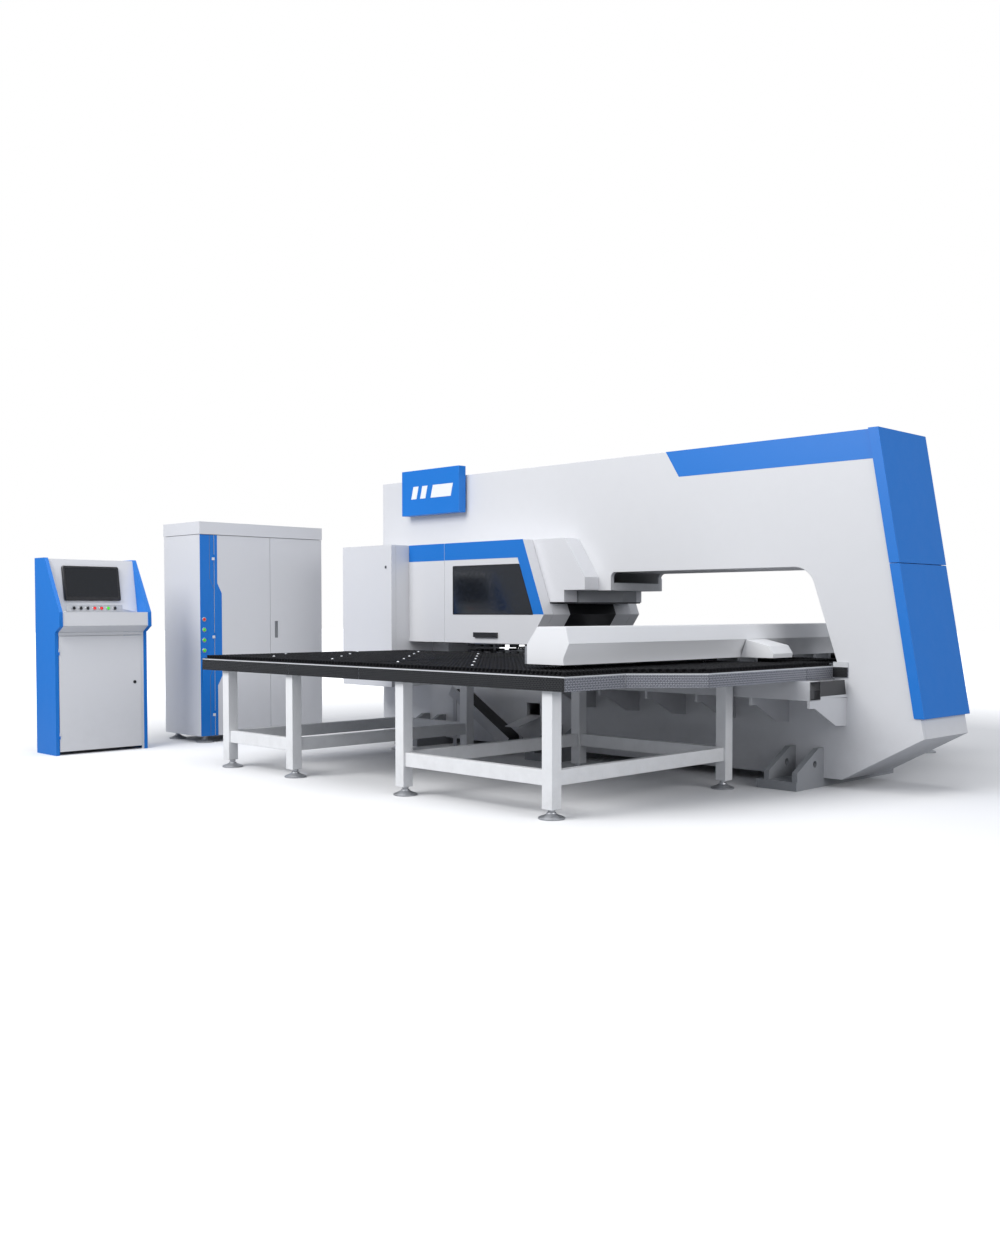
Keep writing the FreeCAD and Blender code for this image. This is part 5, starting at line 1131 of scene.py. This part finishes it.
@dataclass
class ElectricalCabinet:
    """The electrical cabinet: shell, cap, two doors, stripe, creases and four push buttons."""

    stripe: float = 0.030
    stripe_wide: float = 0.075
    stripe_from: float = 0.60
    stripe_to: float = 1.34
    slant: float = 0.09
    button_r: float = 0.013

    def build(self, shop: Workshop) -> None:
        """Dresses the cabinet and adds its stripe, creases, grip and buttons."""
        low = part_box("cabinet_shell")[0]
        front = self.door_edges()[0]
        plate = Zone(BLUE, low=(low.x, front - 0.0045, 0.75), high=(-1.75, front + 0.0005, 1.25))
        Eased("cabinet_shell", BODY, 0.002, (plate,)).build(shop)
        Eased("cabinet_door_left", BODY, 0.002, (Zone(BLUE, high=(9, front - 0.0005, 9)),)).build(shop)
        grip = Zone(GREY, low=(-1.07, 3.3405, 0.92), high=(-1.02, 3.3545, 1.09))
        Eased("cabinet_door_right", BODY, 0.002, (grip,)).build(shop)
        self.door_stripe(shop)
        self.creases(shop)
        self.buttons(shop)

    @staticmethod
    def door_edges() -> tuple[float, float]:
        """The y of the left door's flat front and the x of its hinged edge, clear of the hinge pins."""
        low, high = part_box("cabinet_door_left")
        return high.y - 0.022, low.x + 0.006

    def door_stripe(self, shop: Workshop) -> None:
        """Paints the stripe down the left door's hinge edge, wider between two slanted steps."""
        low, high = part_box("cabinet_door_left")
        front, edge = self.door_edges()
        left = edge + 0.001
        thin = left + self.stripe
        wide = left + self.stripe_wide
        foot, top = self.stripe_from, self.stripe_to
        outline = [(left, low.z), (thin, low.z), (thin, foot - self.slant), (wide, foot),
                   (wide, top), (thin, top + self.slant), (thin, high.z), (left, high.z)]
        paint = film(outline, front, -1.0, Axis.Y)
        shop.piece("cabinet_stripe", paint, "cabinet_left_door", BLUE)

    def creases(self, shop: Workshop) -> None:
        """Adds the two pressed creases that step round the button plate, drawn as thin dark films of painted
        shade.
        """
        front, edge = self.door_edges()
        right = edge - 0.004
        inner = right - 0.045
        wide = 0.003
        lines = [[(inner, 0.062), (inner + wide, 0.062), (inner + wide, 0.60), (inner, 0.60)],
                 [(inner, 0.60), (inner + wide, 0.60), (right, 0.69), (right - wide, 0.69)],
                 [(right - wide, 1.38), (right, 1.38), (inner + wide, 1.47), (inner, 1.47)],
                 [(inner, 1.47), (inner + wide, 1.47), (inner + wide, 1.86), (inner, 1.86)]]
        # Each crease is a thin dark film: painted shade in the fold.
        shapes = [film(line, front, -1.0, Axis.Y, 0.0004) for line in lines]
        shop.piece("cabinet_creases", joined(shapes), "machine", CREASE_SHADE)

    def buttons(self, shop: Workshop) -> None:
        """Turns the four push buttons, red over green, each with a bright bezel fixed to the plate."""
        bezels = []
        for index in range(1, 5):
            node = "cabinet_button_%d" % index
            low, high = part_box(node)
            centre = ((low.x + high.x) / 2, low.y, (low.z + high.z) / 2)
            deep = high.y - low.y
            profile = [(self.button_r, deep), (self.button_r, 0.002), (self.button_r * 0.9, 0.0006),
                       (self.button_r * 0.5, 0.0)]
            slot, finish = ("red_plastic", RED) if index == 1 else ("green_plastic", GREEN)
            shop.piece("cabinet_push_%d" % index, turned(profile[::-1], centre, (0, 1, 0), 32),
                       "cabinet_button_%d_body" % index, finish, replaces=(node,))
            plate = self.door_edges()[0] - 0.003
            base = (centre[0], plate, centre[2])
            bezels.append(collar(base, (0, -1, 0), self.button_r + BEZEL_GAP, BEZEL_R, BEZEL_TALL))
        shop.piece("cabinet_button_bezels", joined(bezels), "machine", STEEL)


@dataclass
class OperatorConsole:
    """The console: blue side panels, white body, monitor, control strip, seven controls and a door."""

    screen_edge: float = 0.022
    screen_chin: float = 0.012
    lever_proud: float = 0.011
    bezel_sink: float = 0.009
    button_r: float = 0.013
    selectors: tuple[int, ...] = (1, 2, 3, 7)
    red: tuple[int, ...] = (4, 5)

    def build(self, shop: Workshop) -> None:
        """Dresses the console and makes its monitor and controls."""
        Eased("console_sides", BLUE, 0.003).build(shop)
        strip = Zone(SHEET, low=(-3.05, 3.43, 1.172), high=(-2.53, 3.4455, 1.24), facing=self.out())
        Eased("console_body", BODY, 0.001, (strip,)).build(shop)
        lock = Zone(KNOB, low=(-2.62, -9, -9), high=(9, 3.3335, 9))
        Eased("console_door", BODY, 0.002, (lock,)).build(shop)
        self.monitor(shop)
        self.controls(shop)

    @staticmethod
    def out() -> Point3:
        """The direction the sloping face looks, which is a selector's axis."""
        joint = next(j for j in frame["joints"] if j["name"] == "selector_1_turn")
        return tuple(joint["axis"])

    def monitor(self, shop: Workshop) -> None:
        """Makes the monitor: an eased bezel round a sunk glass screen, both on the slope."""
        low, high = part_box("console_monitor")
        out = np.array(self.out())
        up = np.array([0.0, out[2], -out[1]])
        across = np.array([1.0, 0.0, 0.0])
        points = node_points("console_monitor")
        s = points @ up
        n = points @ out
        s0, s1, n0, n1 = s.min(), s.max(), n.min(), n.max()
        rim = rounded([(low.x, s0), (high.x, s0), (high.x, s1), (low.x, s1)], 0.016)
        lip = shrunk(rim, 0.006)
        edge = self.screen_edge
        left, right, foot, top = low.x + edge, high.x - edge, s0 + edge + self.screen_chin, s1 - edge
        glass = rounded([(left, foot), (right, foot), (right, top), (left, top)], 0.006)
        rings = [(rim, n0), (rim, n1 - 0.006), (lip, n1), (shrunk(glass, -0.002), n1), (glass, n1 - 0.003)]
        bezel = self.on_slope(rings, across, up, out)
        shop.piece("monitor_bezel", bezel, "machine", BEZEL, replaces=("console_monitor",))
        pane = self.on_slope([(glass, n1 - 0.0029), (glass, n1 - 0.002)], across, up, out)
        shop.piece("monitor_screen", pane, "machine", SCREEN)

    @staticmethod
    def on_slope(rings: Sequence[tuple[np.ndarray, float]], across: np.ndarray, up: np.ndarray,
                 out: np.ndarray) -> Shape:
        """Joins outlines at several heights over the slope into one closed shape.

        Point (k, j) is across * u_j + up * v_j + out * height_k.

        Args:
            rings: outlines of the same number of points, and their heights.
            across: the direction of the outlines' first value.
            up: the direction of their second value.
            out: the direction of the heights.

        Returns:
            The closed shape.
        """
        plane = np.stack([across, up])
        levels = [loop @ plane + out * level for loop, level in rings]
        return Shape(np.vstack(levels), walls(len(rings), len(rings[0][0])))

    def controls(self, shop: Workshop) -> None:
        """Turns the push buttons and selector knobs, each in a bright bezel fixed to the strip."""
        out = np.array(self.out())
        bezels = []
        for index in range(1, 8):
            selector = index in self.selectors
            node = ("selector_%d" if selector else "push_button_%d") % index
            points = node_points(node)
            deep = points @ out
            middle = (points.min(0) + points.max(0)) / 2
            joint = next(j for j in frame["joints"] if j["name"].startswith(node))
            face = deep.max() - (self.lever_proud if selector else 0.0)
            pivot = np.array(joint["pos_m"]) if selector else middle
            centre = pivot + out * (deep.min() - pivot @ out)
            tall = face - deep.min()
            r = self.button_r
            profile = [(r, 0.0), (r, tall - 0.0025), (r * 0.9, tall - 0.0008), (r * 0.55, tall)]
            shape = turned(profile, centre, out, 32)
            if selector:
                up = np.array([0.0, out[2], -out[1]])
                base = centre + out * tall
                bar = [(-0.004, -0.0135), (0.004, -0.0135), (0.004, 0.0135), (-0.004, 0.0135)]
                outline = rounded(bar, 0.003)
                rings = [(outline, -0.001), (outline, 0.008), (shrunk(outline, 0.0015), 0.0108)]
                lever = self.on_slope(rings, np.array([1.0, 0, 0]), up, out)
                lever.points = lever.points + base
                shape = joined([shape, lever])
                slot, finish = "black_plastic", KNOB
            elif index in self.red:
                slot, finish = "red_plastic", RED
            else:
                slot, finish = "green_plastic", GREEN
            shop.piece(node + "_cap", shape, node + "_body", finish, replaces=(node,))
            plate = face - self.bezel_sink
            base = centre + out * (plate - deep.min())
            bezels.append(collar(base, out, r + BEZEL_GAP, BEZEL_R, BEZEL_TALL))
        shop.piece("console_bezels", joined(bezels), "machine", STEEL)


@dataclass
class Studio:
    """The pale floor, soft lights, plain world and the camera."""

    eye: Point3 = (-7.624, -6.200, 1.178)
    heading: float = 45.0
    dip: float = 2.09
    lens: float = 35.09
    rise: float = 0.0246
    lights: list[tuple[str, Point3, Point3, float, float, float]] = field(
        default_factory=lambda: [
            ("key", (-9.0, 1.5, 6.5), (0.0, 0.5, 0.8), 7.0, 5.0, 730.0),
            ("top", (-1.0, 0.0, 8.5), (0.0, 0.2, 0.0), 9.0, 9.0, 360.0),
            ("front", (-1.5, -10.0, 4.0), (0.0, -1.0, 1.0), 6.0, 4.0, 250.0),
        ])

    def build(self) -> None:
        """Makes the camera, floor, lights and world."""
        self.camera()
        self.floor()
        for name, place, aim, width, height, power in self.lights:
            self.light(name, place, aim, width, height, power)
        world = bpy.data.worlds.new("studio_world")
        world.use_nodes = True
        n = Nodes(world.node_tree)
        seen = n.add("ShaderNodeLightPath").outputs["Is Camera Ray"]
        sky = world.node_tree.nodes["Background"]
        n.put(n.blend(seen, (0.88, 0.92, 1.0, 1.0), (1.0, 1.0, 1.0, 1.0)), sky.inputs["Color"])
        n.put(n.between(seen, 0.0, 1.0, 0.44, 1.0), sky.inputs["Strength"])
        bpy.context.scene.world = world
        bpy.context.scene.view_settings.view_transform = "Standard"

    def camera(self) -> None:
        """Places the camera at a standing eye's height, looking along +X and +Y."""
        data = bpy.data.cameras.new("camera")
        data.lens = self.lens
        data.sensor_width = 36.0
        data.shift_y = self.rise
        data.clip_end = 200.0
        obj = bpy.data.objects.new("camera", data)
        obj.location = self.eye
        obj.rotation_euler = (math.radians(90 - self.dip), 0.0, math.radians(-self.heading))
        bpy.context.scene.collection.objects.link(obj)
        bpy.context.scene.camera = obj

    def floor(self) -> None:
        """Lays a wide pale floor that fades into the white surroundings away from the machine."""
        mesh = bpy.data.meshes.new("studio_floor")
        wide = 60.0
        corners = [(-wide, -wide, 0), (wide, -wide, 0), (wide, wide, 0), (-wide, wide, 0)]
        mesh.from_pydata(corners, [], [(0, 1, 2, 3)])
        material = bpy.data.materials.new("pale_floor")
        material.use_nodes = True
        n = Nodes(material.node_tree)
        shader = material.node_tree.nodes["Principled BSDF"]
        tone = n.blend(n.noise(n.place(), 0.6, 2.0), (0.86, 0.86, 0.865, 1), (0.9, 0.9, 0.905, 1))
        seen = n.add("ShaderNodeLightPath").outputs["Is Camera Ray"]
        n.put(n.blend(seen, (0.42, 0.43, 0.45, 1), tone), shader.inputs["Base Color"])
        shader.inputs["Roughness"].default_value = 0.8
        length = n.add("ShaderNodeVectorMath", operation="LENGTH")
        n.put(n.place(), length.inputs[0])
        away = n.math("MULTIPLY", n.between(length.outputs["Value"], 4.5, 10.0, 0.0, 1.0), seen)
        n.put(n.blend(away, (0.0, 0.0, 0.0, 1), (1.0, 1.0, 1.0, 1)), shader.inputs["Emission Color"])
        shader.inputs["Emission Strength"].default_value = 1.0
        mesh.materials.append(material)
        obj = bpy.data.objects.new("studio_floor", mesh)
        bpy.context.scene.collection.objects.link(obj)

    @staticmethod
    def light(name: str, place: Point3, aim: Point3, width: float, height: float, power: float) -> None:
        """Hangs one soft rectangular light.

        Args:
            name: the light's name.
            place: where it hangs.
            aim: the point it faces.
            width: its width.
            height: its height.
            power: its power in watts.
        """
        data = bpy.data.lights.new(name, "AREA")
        data.shape = "RECTANGLE"
        data.size = width
        data.size_y = height
        data.energy = power
        obj = bpy.data.objects.new(name, data)
        obj.location = place
        obj.rotation_mode = "QUATERNION"
        obj.rotation_quaternion = (Vector(aim) - Vector(place)).to_track_quat("-Z", "Y")
        bpy.context.scene.collection.objects.link(obj)


def main() -> None:
    """Builds the studio and every sub-assembly in order."""
    logging.basicConfig(level=logging.INFO, format="%(message)s")
    Studio().build()
    shop = Workshop()
    assemblies = (OFrame(), Head(), Gantry(), BrushTables(), SlugConveyor(), ElectricalCabinet(),
                  OperatorConsole())
    for assembly in assemblies:
        assembly.build(shop)
        LOG.info("%s done", type(assembly).__name__)


if __name__ == "__main__":
    main()
